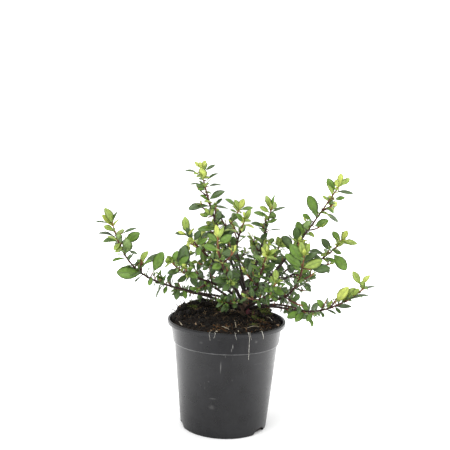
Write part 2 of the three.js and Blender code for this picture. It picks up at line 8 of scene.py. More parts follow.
# %% Load the measured model
import itertools
import json
import math

import bpy
import numpy as np
from mathutils import Matrix, Vector, noise

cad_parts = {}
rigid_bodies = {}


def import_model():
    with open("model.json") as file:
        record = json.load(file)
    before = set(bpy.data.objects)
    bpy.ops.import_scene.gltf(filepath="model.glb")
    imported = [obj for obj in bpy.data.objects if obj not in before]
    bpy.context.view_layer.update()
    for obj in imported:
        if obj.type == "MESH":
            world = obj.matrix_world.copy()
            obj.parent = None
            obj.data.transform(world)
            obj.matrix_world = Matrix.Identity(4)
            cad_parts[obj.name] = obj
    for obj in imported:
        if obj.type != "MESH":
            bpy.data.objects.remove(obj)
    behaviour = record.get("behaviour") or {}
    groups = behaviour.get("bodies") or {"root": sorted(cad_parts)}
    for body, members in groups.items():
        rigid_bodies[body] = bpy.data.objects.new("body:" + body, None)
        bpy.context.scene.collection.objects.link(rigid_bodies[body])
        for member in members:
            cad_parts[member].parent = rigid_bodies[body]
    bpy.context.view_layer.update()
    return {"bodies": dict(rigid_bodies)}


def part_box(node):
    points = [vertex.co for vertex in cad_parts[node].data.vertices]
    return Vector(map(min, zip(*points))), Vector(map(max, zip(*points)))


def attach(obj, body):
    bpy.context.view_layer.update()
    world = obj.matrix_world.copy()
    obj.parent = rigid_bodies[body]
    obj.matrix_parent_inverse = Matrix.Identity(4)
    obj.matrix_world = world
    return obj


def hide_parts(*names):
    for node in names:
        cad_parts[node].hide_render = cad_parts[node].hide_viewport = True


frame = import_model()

MM = 0.001
UP = np.array([0.0, 0.0, 1.0])
BODY = next(iter(frame["bodies"]))
scene = bpy.context.scene

# %% [markdown]
# ## Camera
#
# The camera was matched to the rings of the pot: its rim, the step of its collar and its foot look
# like flat ellipses, and only one height, distance and focal length draws all three as the photo does.
# A camera's own axes are the columns of its matrix, so three angles are enough to build it.

# %% Camera
PHOTO_PIXELS = 450
FOCAL_PIXELS = 776.56
SENSOR_MM = 36.0
CAMERA_PLACE = Vector((0.0, -0.850, 0.3336))
CAMERA_DOWN = math.radians(7.168)
CAMERA_LEFT = math.radians(0.362)
CAMERA_ROLL = math.radians(1.906)


def make_camera():
    data = bpy.data.cameras.new("portrait_camera")
    data.sensor_width = SENSOR_MM
    data.lens = SENSOR_MM * FOCAL_PIXELS / PHOTO_PIXELS
    data.clip_start, data.clip_end = 0.05, 20
    camera = bpy.data.objects.new("portrait_camera", data)
    scene.collection.objects.link(camera)
    look = (
        Matrix.Rotation(CAMERA_LEFT, 4, "Z")
        @ Matrix.Rotation(math.radians(90) - CAMERA_DOWN, 4, "X")
        @ Matrix.Rotation(CAMERA_ROLL, 4, "Z")
    )
    camera.matrix_world = Matrix.Translation(CAMERA_PLACE) @ look
    scene.camera = camera
    return camera


camera = make_camera()
print("camera lens", round(camera.data.lens, 2), "mm")

# %% [markdown]
# ## Node helpers
#
# A finish, and the white world too, is a small graph of nodes. Every step of such a graph places a node,
# sets it and links it to another. These helpers do all three in one line, so that a recipe below reads
# from top to bottom. A colour is always given as three numbers. The last helper makes every mesh.

# %% Helpers for finishes and their nodes


def fill(tree, socket, value):
    """Gives a socket its value, or a link if the value is a socket too"""
    if isinstance(value, bpy.types.NodeSocket):
        tree.links.new(value, socket)
    elif value is not None:
        socket.default_value = (*value, 1) if socket.type == "RGBA" else value


def principled(name, color, roughness, specular=0.5):
    """A new material, its node tree and its one shader"""
    material = bpy.data.materials.new(name)
    material.use_nodes = True
    material.diffuse_color = (*color, 1)
    shader = material.node_tree.nodes["Principled BSDF"]
    shader.inputs["Base Color"].default_value = (*color, 1)
    shader.inputs["Roughness"].default_value = roughness
    shader.inputs["Specular IOR Level"].default_value = specular
    return material, material.node_tree, shader


def add_node(tree, kind, **settings):
    """A node with its settings, and its inputs by name where the name is one of its sockets"""
    node = tree.nodes.new(kind)
    for key, value in settings.items():
        if hasattr(node, key):
            setattr(node, key, value)
        else:
            fill(tree, node.inputs[key.replace("_", " ")], value)
    return node


def math_node(tree, operation, first, second=None):
    node = add_node(tree, "ShaderNodeMath", operation=operation)
    for socket, value in zip(node.inputs, (first, second)):
        fill(tree, socket, value)
    return node.outputs[0]


def times(tree, first, second):
    return math_node(tree, "MULTIPLY", first, second)


def clamped(tree, value):
    return add_node(tree, "ShaderNodeClamp", Value=value).outputs[0]


def remapped(tree, value, low, high, low_out=0.0, high_out=1.0):
    """A value carried from one range to another"""
    ends = dict(From_Min=low, From_Max=high, To_Min=low_out, To_Max=high_out)
    return add_node(tree, "ShaderNodeMapRange", Value=value, **ends).outputs[0]


def mix_colors(tree, share, under, over, blend="MIX"):
    """One colour laid over another by a share from 0 to 1"""
    node = add_node(tree, "ShaderNodeMix", data_type="RGBA", blend_type=blend)
    for spot, value in ((0, share), (6, under), (7, over)):
        fill(tree, node.inputs[spot], value)
    return node.outputs[2]


def noise_node(tree, place, scale, detail, roughness=0.5):
    kind = "ShaderNodeTexNoise"
    return add_node(tree, kind, Vector=place, Scale=scale, Detail=detail, Roughness=roughness).outputs["Fac"]


def object_place(tree):
    """Places counted from the piece's own origin, so that a pattern stays where it is on the piece"""
    return tree.nodes.new("ShaderNodeTexCoord").outputs["Object"]


def split_place(tree, place):
    return add_node(tree, "ShaderNodeSeparateXYZ", Vector=place).outputs


def mesh_object(name, points, faces=(), edges=()):
    mesh = bpy.data.meshes.new(name)
    mesh.from_pydata([tuple(point) for point in points], edges, faces)
    return bpy.data.objects.new(name, mesh)


# %% [markdown]
# ## Studio
#
# The plant stood in a bright white box that was a little darker towards the camera. A pale floor, a
# white world and two big soft lamps give the same light: hardly a shadow, and white reflections that
# climb up both sides of the pot while its front stays dark. For those reflections the floor glows
# from a hand's breadth out on either side. The darker part of the world only lights the plant. A ray
# that comes straight from the camera meets plain white, so the backdrop is even from every side.

# %% Studio
FLOOR_HALF_SIZE = 18.0
FLOOR_TONE = 0.97
FLOOR_GLOW, SIDE_GLOW = 0.05, 1.35
GLOW_STARTS, GLOW_FULL = 0.07, 0.26
WORLD_STRENGTH = 1.35
FRONT_STRENGTH = 0.36
FRONT_FADE = -0.2
LAMP_AIM = Vector((0, 0, 0.15))


def make_floor():
    half = FLOOR_HALF_SIZE
    corners = [(-half, -half, 0), (half, -half, 0), (half, half, 0), (-half, half, 0)]
    floor = mesh_object("floor", corners, [(0, 1, 2, 3)])
    scene.collection.objects.link(floor)
    finish, tree, shader = principled("pale_floor", (FLOOR_TONE, FLOOR_TONE, FLOOR_TONE), 0.8, 0.1)
    shader.inputs["Emission Color"].default_value = (1, 1, 1, 1)
    sideways = math_node(tree, "ABSOLUTE", split_place(tree, object_place(tree))["X"])
    glow = remapped(tree, sideways, GLOW_STARTS, GLOW_FULL, FLOOR_GLOW, SIDE_GLOW)
    tree.links.new(glow, shader.inputs["Emission Strength"])
    floor.data.materials.append(finish)


def make_lamp(name, place, size, power):
    data = bpy.data.lights.new(name, "AREA")
    data.shape = "DISK"
    data.size = size
    data.energy = power
    lamp = bpy.data.objects.new(name, data)
    scene.collection.objects.link(lamp)
    turn = (LAMP_AIM - Vector(place)).to_track_quat("-Z", "Y").to_matrix().to_4x4()
    lamp.matrix_world = Matrix.Translation(place) @ turn


def make_world():
    world = bpy.data.worlds.new("white_box")
    world.use_nodes = True
    tree = world.node_tree
    background = tree.nodes["Background"]
    background.inputs["Color"].default_value = (1, 1, 1, 1)
    toward = split_place(tree, tree.nodes.new("ShaderNodeTexCoord").outputs["Generated"])["Y"]
    fade = remapped(tree, toward, -1.0, FRONT_FADE, FRONT_STRENGTH, WORLD_STRENGTH)
    straight = tree.nodes.new("ShaderNodeLightPath").outputs["Is Camera Ray"]
    strength = add_node(tree, "ShaderNodeMix", Factor=straight, A=fade, B=WORLD_STRENGTH)
    tree.links.new(strength.outputs["Result"], background.inputs["Strength"])
    scene.world = world


make_world()
make_floor()
make_lamp("key_lamp", (-0.6, -0.9, 1.7), 1.1, 16)
make_lamp("side_lamp", (1.3, 0.3, 1.0), 0.9, 7)
scene.view_settings.view_transform = "Standard"
print("floor", 2 * FLOOR_HALF_SIZE, "m wide, world from", FRONT_STRENGTH, "to", WORLD_STRENGTH)

# %% [markdown]
# ## The rule the plant grows by
#
# Each shoot is one curve. Its lower part is a bough, and the rest carries leaves, set round it by the
# golden angle, and a few side twigs. This is the same rule, with the same sizes in millimetres and
# the same seeds, that made the measured model, so every leaf and twig of it is found again here.

# %% Sizes that the rule shares with the model
GAP = 0.3
POT_HEIGHT = 121.4
RIM_RADIUS = 66
COLLAR_TOP_RADIUS = 62
WALL = 1.4
SOIL_EDGE_HEIGHT = 118
SOIL_MOUND = 13
SOIL_MOUND_CENTRE = (-14, 20)
SOIL_MOUND_SPREAD = 40
SOIL_SLOPE = 0.9
SOIL_ROUGHNESS = 0.8
STEM_FOOT = (18, 8)
STEM_LEAN = (2, 1)
STEM_FOOT_HEIGHT = 126.5
STEM_HEIGHT = 25
STEM_FOOT_RADIUS = 6.2
STEM_TOP_RADIUS = 4.6
ROOT_FLARE = 3.4
ROOT_FLARE_FADE = 8
SEAT_RADIUS = 11
SEAT_FADE = 9
TIER_HEIGHTS = {"low": 5.5, "mid": 12.5, "high": 19.5, "top": STEM_HEIGHT}
TOP_BOUGH_OFFSET = 2.5
LIMB_FOOT_RADIUS = 1.6
LIMB_TIP_RADIUS = 0.5
TWIG_RADIUS = 0.7
TWIG_TAPER = 0.35
LEAF_WIDTH = 0.5
LEAF_THICKNESS = 0.7
LEAF_TURN = math.radians(137.5)
LEAF_LIFT = 0.12
LIGHT_FROM_ABOVE = 0.45
LIGHT_ALONG_TWIG = 0.75
LEAF_TILT = 2.4
LEAF_ROOT = 0.35
LEAF_SPACING = 9.2
TWIG_LEAF_SPACING = 8.5
TIP_LEAF_STEP = 2.6
CLEARANCE = 0.5
print("pot", POT_HEIGHT, "mm tall, stem", STEM_HEIGHT, "mm, a leaf every", LEAF_SPACING, "mm of shoot")

# %% The shoots, by where each leaves the stem and where its tip stands
SHOOT_WORDS = ("name", "tier", "heading", "reach", "height", "launch", "finish", "bare", "leaf", "seed")
SHOOT_ROWS = [
    ("back_tall", "top", 163, 57, 287, 64, 77, 0.34, 21, 190),
    ("centre_right", "top", 23, 29, 247, 70, 76, 0.3, 20, 158),
    ("centre", "top", 254, 14, 233, 58, 48, 0.3, 19, 444),
    ("right_tall", "high", 351, 99, 275, 46, 58, 0.36, 22, 108),
    ("left_upper", "high", 203, 73, 221, 66, 56, 0.32, 21, 893),
    ("back_bent", "high", 100, 52, 238, 45, 35, 0.34, 20, 864),
    ("front_middle", "high", 289, 62, 204, 15, 60, 0.32, 19, 655),
    ("back_upright", "high", 62, 88, 194, 40, 66, 0.36, 21, 620),
    ("right_middle", "mid", 4, 108, 213, 47, 56, 0.34, 24, 108),
    ("front_left", "mid", 245, 76, 222, 43, 88, 0.34, 20, 150),
    ("left_low", "mid", 208, 92, 190, 60, 50, 0.32, 23, 365),
    ("left_rim", "mid", 172, 80, 148, 16, 6, 0.4, 19, 244),
    ("back_left", "mid", 127, 88, 200, 66, 48, 0.36, 21, 206),
    ("back_right", "mid", 42, 88, 190, 42, 60, 0.36, 21, 393),
    ("back_far", "mid", 82, 114, 176, 30, 45, 0.38, 22, 36),
    ("front_right", "mid", 314, 84, 205, 14, 86, 0.38, 21, 595),
    ("left_arch", "low", 189, 150, 229, 28, 76, 0.42, 25, 634),
    ("front_short", "low", 236, 46, 147, 46, 20, 0.34, 19, 414),
    ("front_low", "low", 288, 92, 180, 36, 50, 0.36, 20, 590),
    ("right_low", "low", 331, 140, 174, 22, 43, 0.42, 24, 332),
    ("right_rim", "low", 2, 78, 126, 20, -24, 0.4, 19, 493),
    ("back_right_low", "low", 34, 94, 158, 30, 32, 0.38, 22, 305),
    ("back_low", "low", 104, 110, 160, 40, 42, 0.38, 22, 636),
    ("back_left_low", "low", 146, 96, 172, 42, 40, 0.38, 22, 593),
]
SHOOT_HABITS = {
    "back_tall": {"bushy": 0.8},
    "centre_right": {"bushy": 0.7},
    "centre": {"veer": 38, "sweep": 0.7},
    "right_tall": {"bushy": 0.6},
    "left_upper": {"turn": 9, "veer": -12},
    "back_bent": {"veer": -45, "sweep": 0.65},
    "front_middle": {"veer": 12, "sweep": 0.46},
    "right_middle": {"veer": -12},
    "front_left": {"turn": 15},
    "left_low": {"veer": 12},
    "front_right": {"sweep": 0.5},
    "left_arch": {"turn": 24, "sweep": 0.52, "bushy": 0.6},
    "right_low": {"turn": -30, "veer": 14, "sweep": 0.58, "bushy": 0.6},
}
PLAIN_HABIT = {"turn": 0, "veer": 0, "sweep": 0.36, "bushy": 1}
SHOOTS = [
    {**dict(zip(SHOOT_WORDS, row)), **PLAIN_HABIT, **SHOOT_HABITS.get(row[0], {})} for row in SHOOT_ROWS
]
print(len(SHOOTS), "shoots")

# %% Small helpers: a seeded draw, unit vectors, curves measured by length


def seeded(seed):
    """The same seed always gives the same numbers from 0 to 1."""
    state = seed

    def draw():
        nonlocal state
        state = (state + 0x6D2B79F5) & 0xFFFFFFFF
        mixed = ((state ^ (state >> 15)) * (state | 1)) & 0xFFFFFFFF
        mixed = ((mixed + ((mixed ^ (mixed >> 7)) * (mixed | 61))) & 0xFFFFFFFF) ^ mixed
        return ((mixed ^ (mixed >> 14)) & 0xFFFFFFFF) / 4294967296

    return draw


def unit(vector):
    return vector / np.linalg.norm(vector)


def square_to(along, vector):
    """The unit vector nearest to the one given that stands square to a direction"""
    return unit(vector - along * np.dot(along, vector))


def spoke(side, over, azimuth):
    return side * math.cos(azimuth) + over * math.sin(azimuth)


def lerp(low, high, share):
    return low + (high - low) * share


def smoothstep(value, low, high):
    share = min(max((value - low) / (high - low), 0), 1)
    return share * share * (3 - 2 * share)


def direction(heading, slope):
    turn, lift = math.radians(heading), math.radians(slope)
    return np.array([math.cos(turn) * math.cos(lift), math.sin(turn) * math.cos(lift), math.sin(lift)])


class Bend:
    """A Bezier curve whose places are asked for by their share of its length"""

    STEPS = 200
    NUDGE = 0.0001

    def __init__(self, *corners):
        self.corners = np.array(corners, float)
        rough = self.at(np.linspace(0, 1, self.STEPS + 1))
        pieces = np.linalg.norm(np.diff(rough, axis=0), axis=1)
        self.lengths = np.concatenate([[0], np.cumsum(pieces)])
        self.length = self.lengths[-1]

    def at(self, raw):
        raw = np.atleast_1d(raw)[:, None]
        last = len(self.corners) - 1
        return sum(
            math.comb(last, k) * (1 - raw) ** (last - k) * raw**k * corner
            for k, corner in enumerate(self.corners)
        )

    def raw(self, share):
        return np.interp(share * self.length, self.lengths, np.linspace(0, 1, self.STEPS + 1))

    def place(self, share):
        return self.at(self.raw(share))[0]

    def along(self, share):
        raw = self.raw(share)
        ends = self.at(np.clip([raw - self.NUDGE, raw + self.NUDGE], 0, 1))
        return unit(ends[1] - ends[0])


def frame_at(curve, share, reference):
    """Unit vectors along a limb and across it"""
    along = curve.along(share)
    side = square_to(along, reference)
    return along, side, np.cross(along, side)


print("seed 1 always draws", round(seeded(1)(), 4), "first")

# %% [markdown]
# ## Room for every leaf
#
# Leaves of a real shoot don't cut through each other. So each limb, twig and leaf takes a box, and a new
# leaf is kept only where its box meets no one else's. Two boxes are apart if one of fifteen directions
# divides them, and with arrays one new box is tried against all the others at once.

# %% Room: boxes round every limb, twig and leaf


class Room:
    """All the boxes that are taken, in arrays, so that one new box is tried against all at once"""

    MOST = 8000

    def __init__(self):
        self.centre = np.zeros((self.MOST, 3))
        self.half = np.zeros((self.MOST, 3))
        self.axes = np.zeros((self.MOST, 3, 3))
        self.owner = np.zeros(self.MOST, int)
        self.count = 0

    def take(self, box, owner):
        spot = self.count
        self.centre[spot], self.half[spot], self.axes[spot] = box
        self.owner[spot] = owner
        self.count += 1

    def is_clear(self, box, owner, clearance=CLEARANCE):
        """True if the box meets no one else's"""
        others = np.flatnonzero(self.owner[: self.count] != owner)
        grown = (box[0], box[1] + clearance, box[2])
        return not boxes_meet(grown, self.centre[others], self.half[others], self.axes[others])


def boxes_meet(box, centres, halves, axes):
    """The separating axis test of one box against many"""
    centre, half, own = box
    reach = np.linalg.norm(half) + np.linalg.norm(halves, axis=1)
    near = np.linalg.norm(centres - centre, axis=1) <= reach
    if not near.any():
        return False
    halves = halves[near]
    turn = np.einsum("ik,njk->nij", own, axes[near])
    size = np.abs(turn) + 1e-16
    away = (centres[near] - centre) @ own.T
    meets = (np.abs(away) <= half + np.einsum("nij,nj->ni", size, halves)).all(1)
    back = np.abs(np.einsum("ni,nij->nj", away, turn))
    meets &= (back <= halves + np.einsum("i,nij->nj", half, size)).all(1)
    for i in range(3):
        i1, i2 = (i + 1) % 3, (i + 2) % 3
        for j in range(3):
            j1, j2 = (j + 1) % 3, (j + 2) % 3
            mine = half[i1] * size[:, i2, j] + half[i2] * size[:, i1, j]
            theirs = halves[:, j1] * size[:, i, j2] + halves[:, j2] * size[:, i, j1]
            apart = np.abs(away[:, i2] * turn[:, i1, j] - away[:, i1] * turn[:, i2, j])
            meets &= apart <= mine + theirs
    return bool(meets.any())


def meets_any(box, boxes):
    return bool(boxes) and boxes_meet(box, *(np.array(kind) for kind in zip(*boxes)))


room = Room()
print("room for", room.MOST, "boxes")

# %% Boxes round limbs and leaves


def box_around(centre, half, along, face):
    return centre, np.array(half, float), np.array([along, np.cross(face, along), face])


def boxes_along(curve, start, end, radius_at, steps, reference):
    boxes = []
    for i in range(steps):
        shares = [lerp(start, end, k / steps) for k in (i, i + 1)]
        first, last = (curve.place(share) for share in shares)
        radius = radius_at(shares[0])
        along = unit(last - first)
        face = square_to(along, reference)
        half = (0.5 * np.linalg.norm(last - first), radius, radius)
        boxes.append(box_around(0.5 * (first + last), half, along, face))
    return boxes


def leaf_box(leaf, beyond=0):
    """The box round a leaf, or round the part of it beyond a share of its length"""
    half = np.array([(1 - beyond) * 0.5, LEAF_WIDTH * 0.5, 0]) * leaf["length"]
    half[2] = 0.5 * LEAF_THICKNESS
    middle = leaf["base"] + leaf["along"] * 0.5 * (1 + beyond) * leaf["length"]
    return box_around(middle - leaf["face"] * half[2], half, leaf["along"], leaf["face"])


# %% The ground and the pot, as the leaves meet them
HEIGHTS_TRIED = (0.3, 0.54, 0.8, 1)


def soil_height(x, y):
    away = math.hypot(x - SOIL_MOUND_CENTRE[0], y - SOIL_MOUND_CENTRE[1]) / SOIL_MOUND_SPREAD
    mound = SOIL_EDGE_HEIGHT + SOIL_MOUND * math.exp(-0.5 * away * away)
    slump = SOIL_EDGE_HEIGHT + SOIL_SLOPE * (COLLAR_TOP_RADIUS - math.hypot(x, y))
    lumps = math.sin(0.31 * x + 1) * math.cos(0.27 * y) + 0.6 * math.sin(0.17 * x - 0.36 * y)
    loose = min(mound, slump) + SOIL_ROUGHNESS * lumps
    from_stem = math.hypot(x - STEM_FOOT[0], y - STEM_FOOT[1])
    return lerp(STEM_FOOT_HEIGHT + 1, loose, smoothstep(from_stem, SEAT_RADIUS, SEAT_RADIUS + SEAT_FADE))


def clears_pot(point):
    from_middle = math.hypot(point[0], point[1])
    if from_middle > RIM_RADIUS + CLEARANCE:
        return True
    if from_middle > COLLAR_TOP_RADIUS - 2 * WALL and point[2] < POT_HEIGHT + CLEARANCE:
        return False
    return point[2] > soil_height(point[0], point[1]) + 2 * CLEARANCE


def leaf_clears_pot(leaf):
    across = np.cross(leaf["face"], leaf["along"])
    half = 0.5 * LEAF_WIDTH * leaf["length"]
    return all(
        clears_pot(leaf["base"] + leaf["along"] * share * leaf["length"] + across * off)
        for share in HEIGHTS_TRIED
        for off in (-half, 0, half)
    )


# %% The stem and the curve of each shoot
BOUGH_OWNER = 1000
BOUGH_PIECE = 11
SHOOT_PIECE = 13


def stem_radius(rise):
    share = rise / STEM_HEIGHT
    return lerp(STEM_FOOT_RADIUS, STEM_TOP_RADIUS, share) + ROOT_FLARE * math.exp(-ROOT_FLARE_FADE * share)


def stem_axis(rise):
    share = rise / STEM_HEIGHT
    x = STEM_FOOT[0] + STEM_LEAN[0] * share
    return np.array([x, STEM_FOOT[1] + STEM_LEAN[1] * share, STEM_FOOT_HEIGHT + rise])


def shoot_curve(shoot):
    rise = TIER_HEIGHTS[shoot["tier"]]
    on_top = shoot["tier"] == "top"
    outward = direction(shoot["heading"], 0)
    first = direction(shoot["heading"] + shoot["turn"], shoot["launch"])
    seat = UP if on_top else outward
    overhang = LIMB_FOOT_RADIUS * math.sqrt(1 - np.dot(first, seat) ** 2)
    start = stem_axis(rise) + outward * (TOP_BOUGH_OFFSET if on_top else stem_radius(rise))
    start = start + seat * (GAP + overhang)
    tip = stem_axis(STEM_HEIGHT) + outward * shoot["reach"]
    tip[2] = shoot["height"]
    hold = shoot["sweep"] * np.linalg.norm(tip - start)
    last = direction(shoot["heading"] + shoot["veer"], shoot["finish"])
    return Bend(start, start + first * hold, tip - last * hold, tip)


def limb_radius(share):
    return lerp(LIMB_FOOT_RADIUS, LIMB_TIP_RADIUS, share)


def plan_shoot(number, shoot):
    curve = shoot_curve(shoot)
    reference = unit(np.cross(curve.place(1) - curve.place(0), UP))
    start = shoot["bare"] + GAP / curve.length
    bough_steps = max(3, math.floor(curve.length * shoot["bare"] / BOUGH_PIECE + 0.5))
    steps = max(3, math.floor(curve.length * (1 - start) / SHOOT_PIECE + 0.5))
    mass = dict(shoot=shoot, curve=curve, reference=reference, steps=steps, radius=limb_radius)
    mass.update({"from": start, "owner": number, "twigs": [], "leaves": []})
    for box in boxes_along(curve, 0, shoot["bare"], limb_radius, bough_steps, reference):
        room.take(box, BOUGH_OWNER + number)
    for box in boxes_along(curve, start + 2 / curve.length, 1, limb_radius, steps, reference):
        room.take(box, number)
    return mass


# %% [markdown]
# ## Leaves and side twigs of the model
#
# Leaves spread more widely at the foot of a shoot than at its tip, and their upper sides turn to the
# light. Each third joint carries a side twig, and every tip ends in a few small leaves. All of this is
# straight arithmetic on the shoot's curve, so the model and the lesson come out the same.

# %% Leaves and side twigs
LEAF_TRIES = (1, 0.8, 0.65)
FOOT_SPREAD, TIP_SPREAD = 76, 50
TWIG_EVERY = 3
LAST_TWIG = 0.75


def place_on(twig, share):
    """A place on the straight pieces that the limb of the model is made of"""
    start, steps = twig["from"], twig["steps"]
    piece = min(math.floor((share - start) / (1 - start) * steps), steps - 1)
    low, high = (lerp(start, 1, k / steps) for k in (piece, piece + 1))
    return lerp(twig["curve"].place(low), twig["curve"].place(high), (share - low) / (high - low))


def leaf_on(twig, share, azimuth, spread, length, draw, tilt=LEAF_TILT):
    along, side, over = frame_at(twig["curve"], share, twig["reference"])
    lean = math.radians(spread)
    outward = spoke(side, over, azimuth)
    leaf_along = unit(along * math.cos(lean) + outward * math.sin(lean) + UP * LEAF_LIFT)
    light = UP * LIGHT_FROM_ABOVE + along * LIGHT_ALONG_TWIG
    light[0] += tilt * (draw() - 0.5)
    light[1] += tilt * (draw() - 0.5)
    base, face = place_on(twig, share), square_to(leaf_along, light)
    return dict(base=base, along=leaf_along, face=face, length=length, stem=along, outward=outward)


# %% A leaf stays where it finds room


def leaf_fits(mass, leaf):
    if meets_any(leaf_box(leaf, LEAF_ROOT), [leaf_box(other, LEAF_ROOT) for other in mass["leaves"]]):
        return False
    return leaf_clears_pot(leaf) and room.is_clear(leaf_box(leaf), mass["owner"])


def add_leaf(mass, leaf, age):
    """A leaf that finds no room is tried smaller, and then skipped."""
    for scale in LEAF_TRIES:
        smaller = {**leaf, "length": scale * leaf["length"], "age": age}
        if leaf_fits(mass, smaller):
            room.take(leaf_box(smaller), mass["owner"])
            mass["leaves"].append(smaller)
            return


def add_tip_leaves(mass, twig, count, length, draw):
    for k in range(count):
        share = 1 - TIP_LEAF_STEP * k / twig["curve"].length
        size = length * (0.62 + 0.1 * k)
        add_leaf(mass, leaf_on(twig, share, k * LEAF_TURN, 22 + 11 * k, size, draw), 1 - 0.06 * k)


# %% Side twigs, and the growth of one shoot


def side_twig(mass, share, azimuth, length, draw):
    along, side, over = frame_at(mass["curve"], share, mass["reference"])
    heading = unit(along * 0.6 + spoke(side, over, azimuth) + UP * 0.2)
    start = place_on(mass, share)
    middle = start + heading * 0.5 * length
    end = middle + heading * 0.4 * length + UP * (0.12 + 0.16 * draw()) * length
    twig = dict(curve=Bend(start, middle, end), reference=unit(np.cross(heading, UP)), steps=2)
    return {**twig, "from": 0, "radius": lambda at: TWIG_RADIUS * (1 - TWIG_TAPER * at)}


def grow_twig(mass, share, azimuth, length, draw, age):
    twig = side_twig(mass, share, azimuth, length, draw)
    boxes = boxes_along(twig["curve"], 0.1, 1, twig["radius"], 2, twig["reference"])
    clear = all(room.is_clear(box, mass["owner"]) and clears_pot(box[0]) for box in boxes)
    if not clear or not clears_pot(twig["curve"].place(1)):
        return
    for box in boxes:
        room.take(box, mass["owner"])
    mass["twigs"].append(twig)
    leaf = mass["shoot"]["leaf"]
    count = math.floor(length / TWIG_LEAF_SPACING)
    for k in range(1, count + 1):
        at = (k - 0.2) / (count + 0.4)
        size = leaf * (0.66 + 0.26 * draw())
        add_leaf(mass, leaf_on(twig, at, k * LEAF_TURN, 62, size, draw), age)
    add_tip_leaves(mass, twig, 2, 0.8 * leaf, draw)


def leaf_count(mass, spacing):
    return math.floor(mass["curve"].length * (1 - mass["from"]) / spacing + 0.5)


def grow_mass(mass):
    shoot = mass["shoot"]
    draw = seeded(shoot["seed"])
    count = leaf_count(mass, LEAF_SPACING)
    first = draw() * math.tau
    for k in range(count):
        done = (k + 0.5) / count
        share = lerp(mass["from"], 1, done)
        azimuth = first + k * LEAF_TURN
        spread = lerp(FOOT_SPREAD, TIP_SPREAD, done * done) + 14 * (draw() - 0.5)
        size = shoot["leaf"] * (0.8 + 0.36 * draw()) * (1 - 0.22 * done * done)
        add_leaf(mass, leaf_on(mass, share, azimuth, spread, size, draw), done)
        length = shoot["bushy"] * lerp(30, 15, done) * (0.75 + 0.5 * draw())
        if k % TWIG_EVERY == 1 and done < LAST_TWIG:
            grow_twig(mass, share, azimuth + 0.5 * math.pi, length, draw, 0.3 + 0.5 * done)
    add_tip_leaves(mass, mass, 3, shoot["leaf"], draw)


masses = [plan_shoot(number, shoot) for number, shoot in enumerate(SHOOTS)]
for mass in masses:
    grow_mass(mass)
print(sum(len(m["leaves"]) for m in masses), "main leaves,", sum(len(m["twigs"]) for m in masses), "twigs")

# %% [markdown]
# ## Finer growth
#
# The measured model stops at its large leaves. On the living shrub a short spur with a few small leaves
# sits in the axil of nearly every leaf, smaller leaves stand between the large ones, each tip ends in
# a rosette that has just opened, and the lower boughs still carry a few tufts. They are grown here from
# the same curves with a second seeded draw, and they keep to the reach of the model's own leaves. A
# fine twig's tip is a little older than the tip of its shoot, so only the outer tips are yellow-green.

# %% Spurs, fine twigs and the small leaves on them
EXTRA_SEED = 5000
REACH_MARGIN = 4.0
SMALL_CLEARANCE = 0.15
SMALL_LEAF_ROOT = 0.2
SMALL_TILT = 1.2
SPUR_CHANCE = 0.85
BETWEEN_SPACING = 2.0
BOUGH_TUFT_SPACING = 8.0
FINE_TWIG_EVERY = 3
FINE_TWIG_TIP_AGE = 0.76
SIDE_TWIG_TIP_AGE = 0.9
SPUR_RADIUS = 0.34
FINE_TWIG_RADIUS = 0.42
SHORT_TAPER = 0.45
SPUR_AGE = 0.7
TUFT_AGE = 0.25
LAST_PLACE = 0.999


def reach_of(mass):
    low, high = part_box("foliage_" + mass["shoot"]["name"])
    bough_low, bough_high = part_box("bough_" + mass["shoot"]["name"])
    low = np.minimum(low, bough_low) / MM - REACH_MARGIN
    high = np.maximum(high, bough_high) / MM + REACH_MARGIN
    return low, high


def add_small_leaf(mass, leaf, age):
    """A small leaf stays if it keeps to the reach of its mass and is clear of the rest."""
    leaf["age"] = age
    tip = leaf["base"] + leaf["along"] * leaf["length"]
    low, high = mass["reach"]
    if not ((tip > low).all() and (tip < high).all() and leaf_clears_pot(leaf)):
        return
    if room.is_clear(leaf_box(leaf, SMALL_LEAF_ROOT), mass["owner"], SMALL_CLEARANCE):
        mass["small_leaves"].append(leaf)


def short_twig(start, heading, length, droop, foot_radius):
    middle = start + heading * 0.5 * length
    end = middle + heading * 0.5 * length + UP * droop * length
    twig = dict(curve=Bend(start, middle, end), reference=unit(np.cross(heading, UP + 0.01)), steps=1)
    return {**twig, "from": 0, "radius": lambda at: foot_radius * (1 - SHORT_TAPER * at)}


def grow_spur(mass, base, stem, outward, length, count, leaf_size, age, draw):
    heading = unit(stem * 0.75 + outward * 0.65 + UP * 0.2)
    spur = short_twig(base, heading, length, 0.15, SPUR_RADIUS)
    if not clears_pot(spur["curve"].place(1)):
        return
    mass["spurs"].append(spur)
    first = draw() * math.tau
    for k in range(count):
        share = lerp(0.55, 1, (k + 1) / count)
        spread = lerp(66, 24, k / max(count - 1, 1))
        size = leaf_size * (0.75 + 0.5 * draw())
        leaf = leaf_on(spur, min(share, LAST_PLACE), first + k * LEAF_TURN, spread, size, draw, SMALL_TILT)
        add_small_leaf(mass, leaf, min(1, age + 0.12 * k))


def grow_axils(mass, draw):
    size = mass["shoot"]["leaf"]
    for leaf in list(mass["leaves"]):
        if leaf["age"] > 0.9 or draw() > SPUR_CHANCE:
            continue
        count = 2 + math.floor(2.6 * draw())
        length = lerp(3, 8, draw()) * (1 - 0.5 * leaf["age"])
        small = size * lerp(0.24, 0.44, draw())
        grow_spur(mass, leaf["base"], leaf["stem"], leaf["outward"], length, count, small, SPUR_AGE, draw)


# %% Small leaves between the large ones, and rosettes at the tips


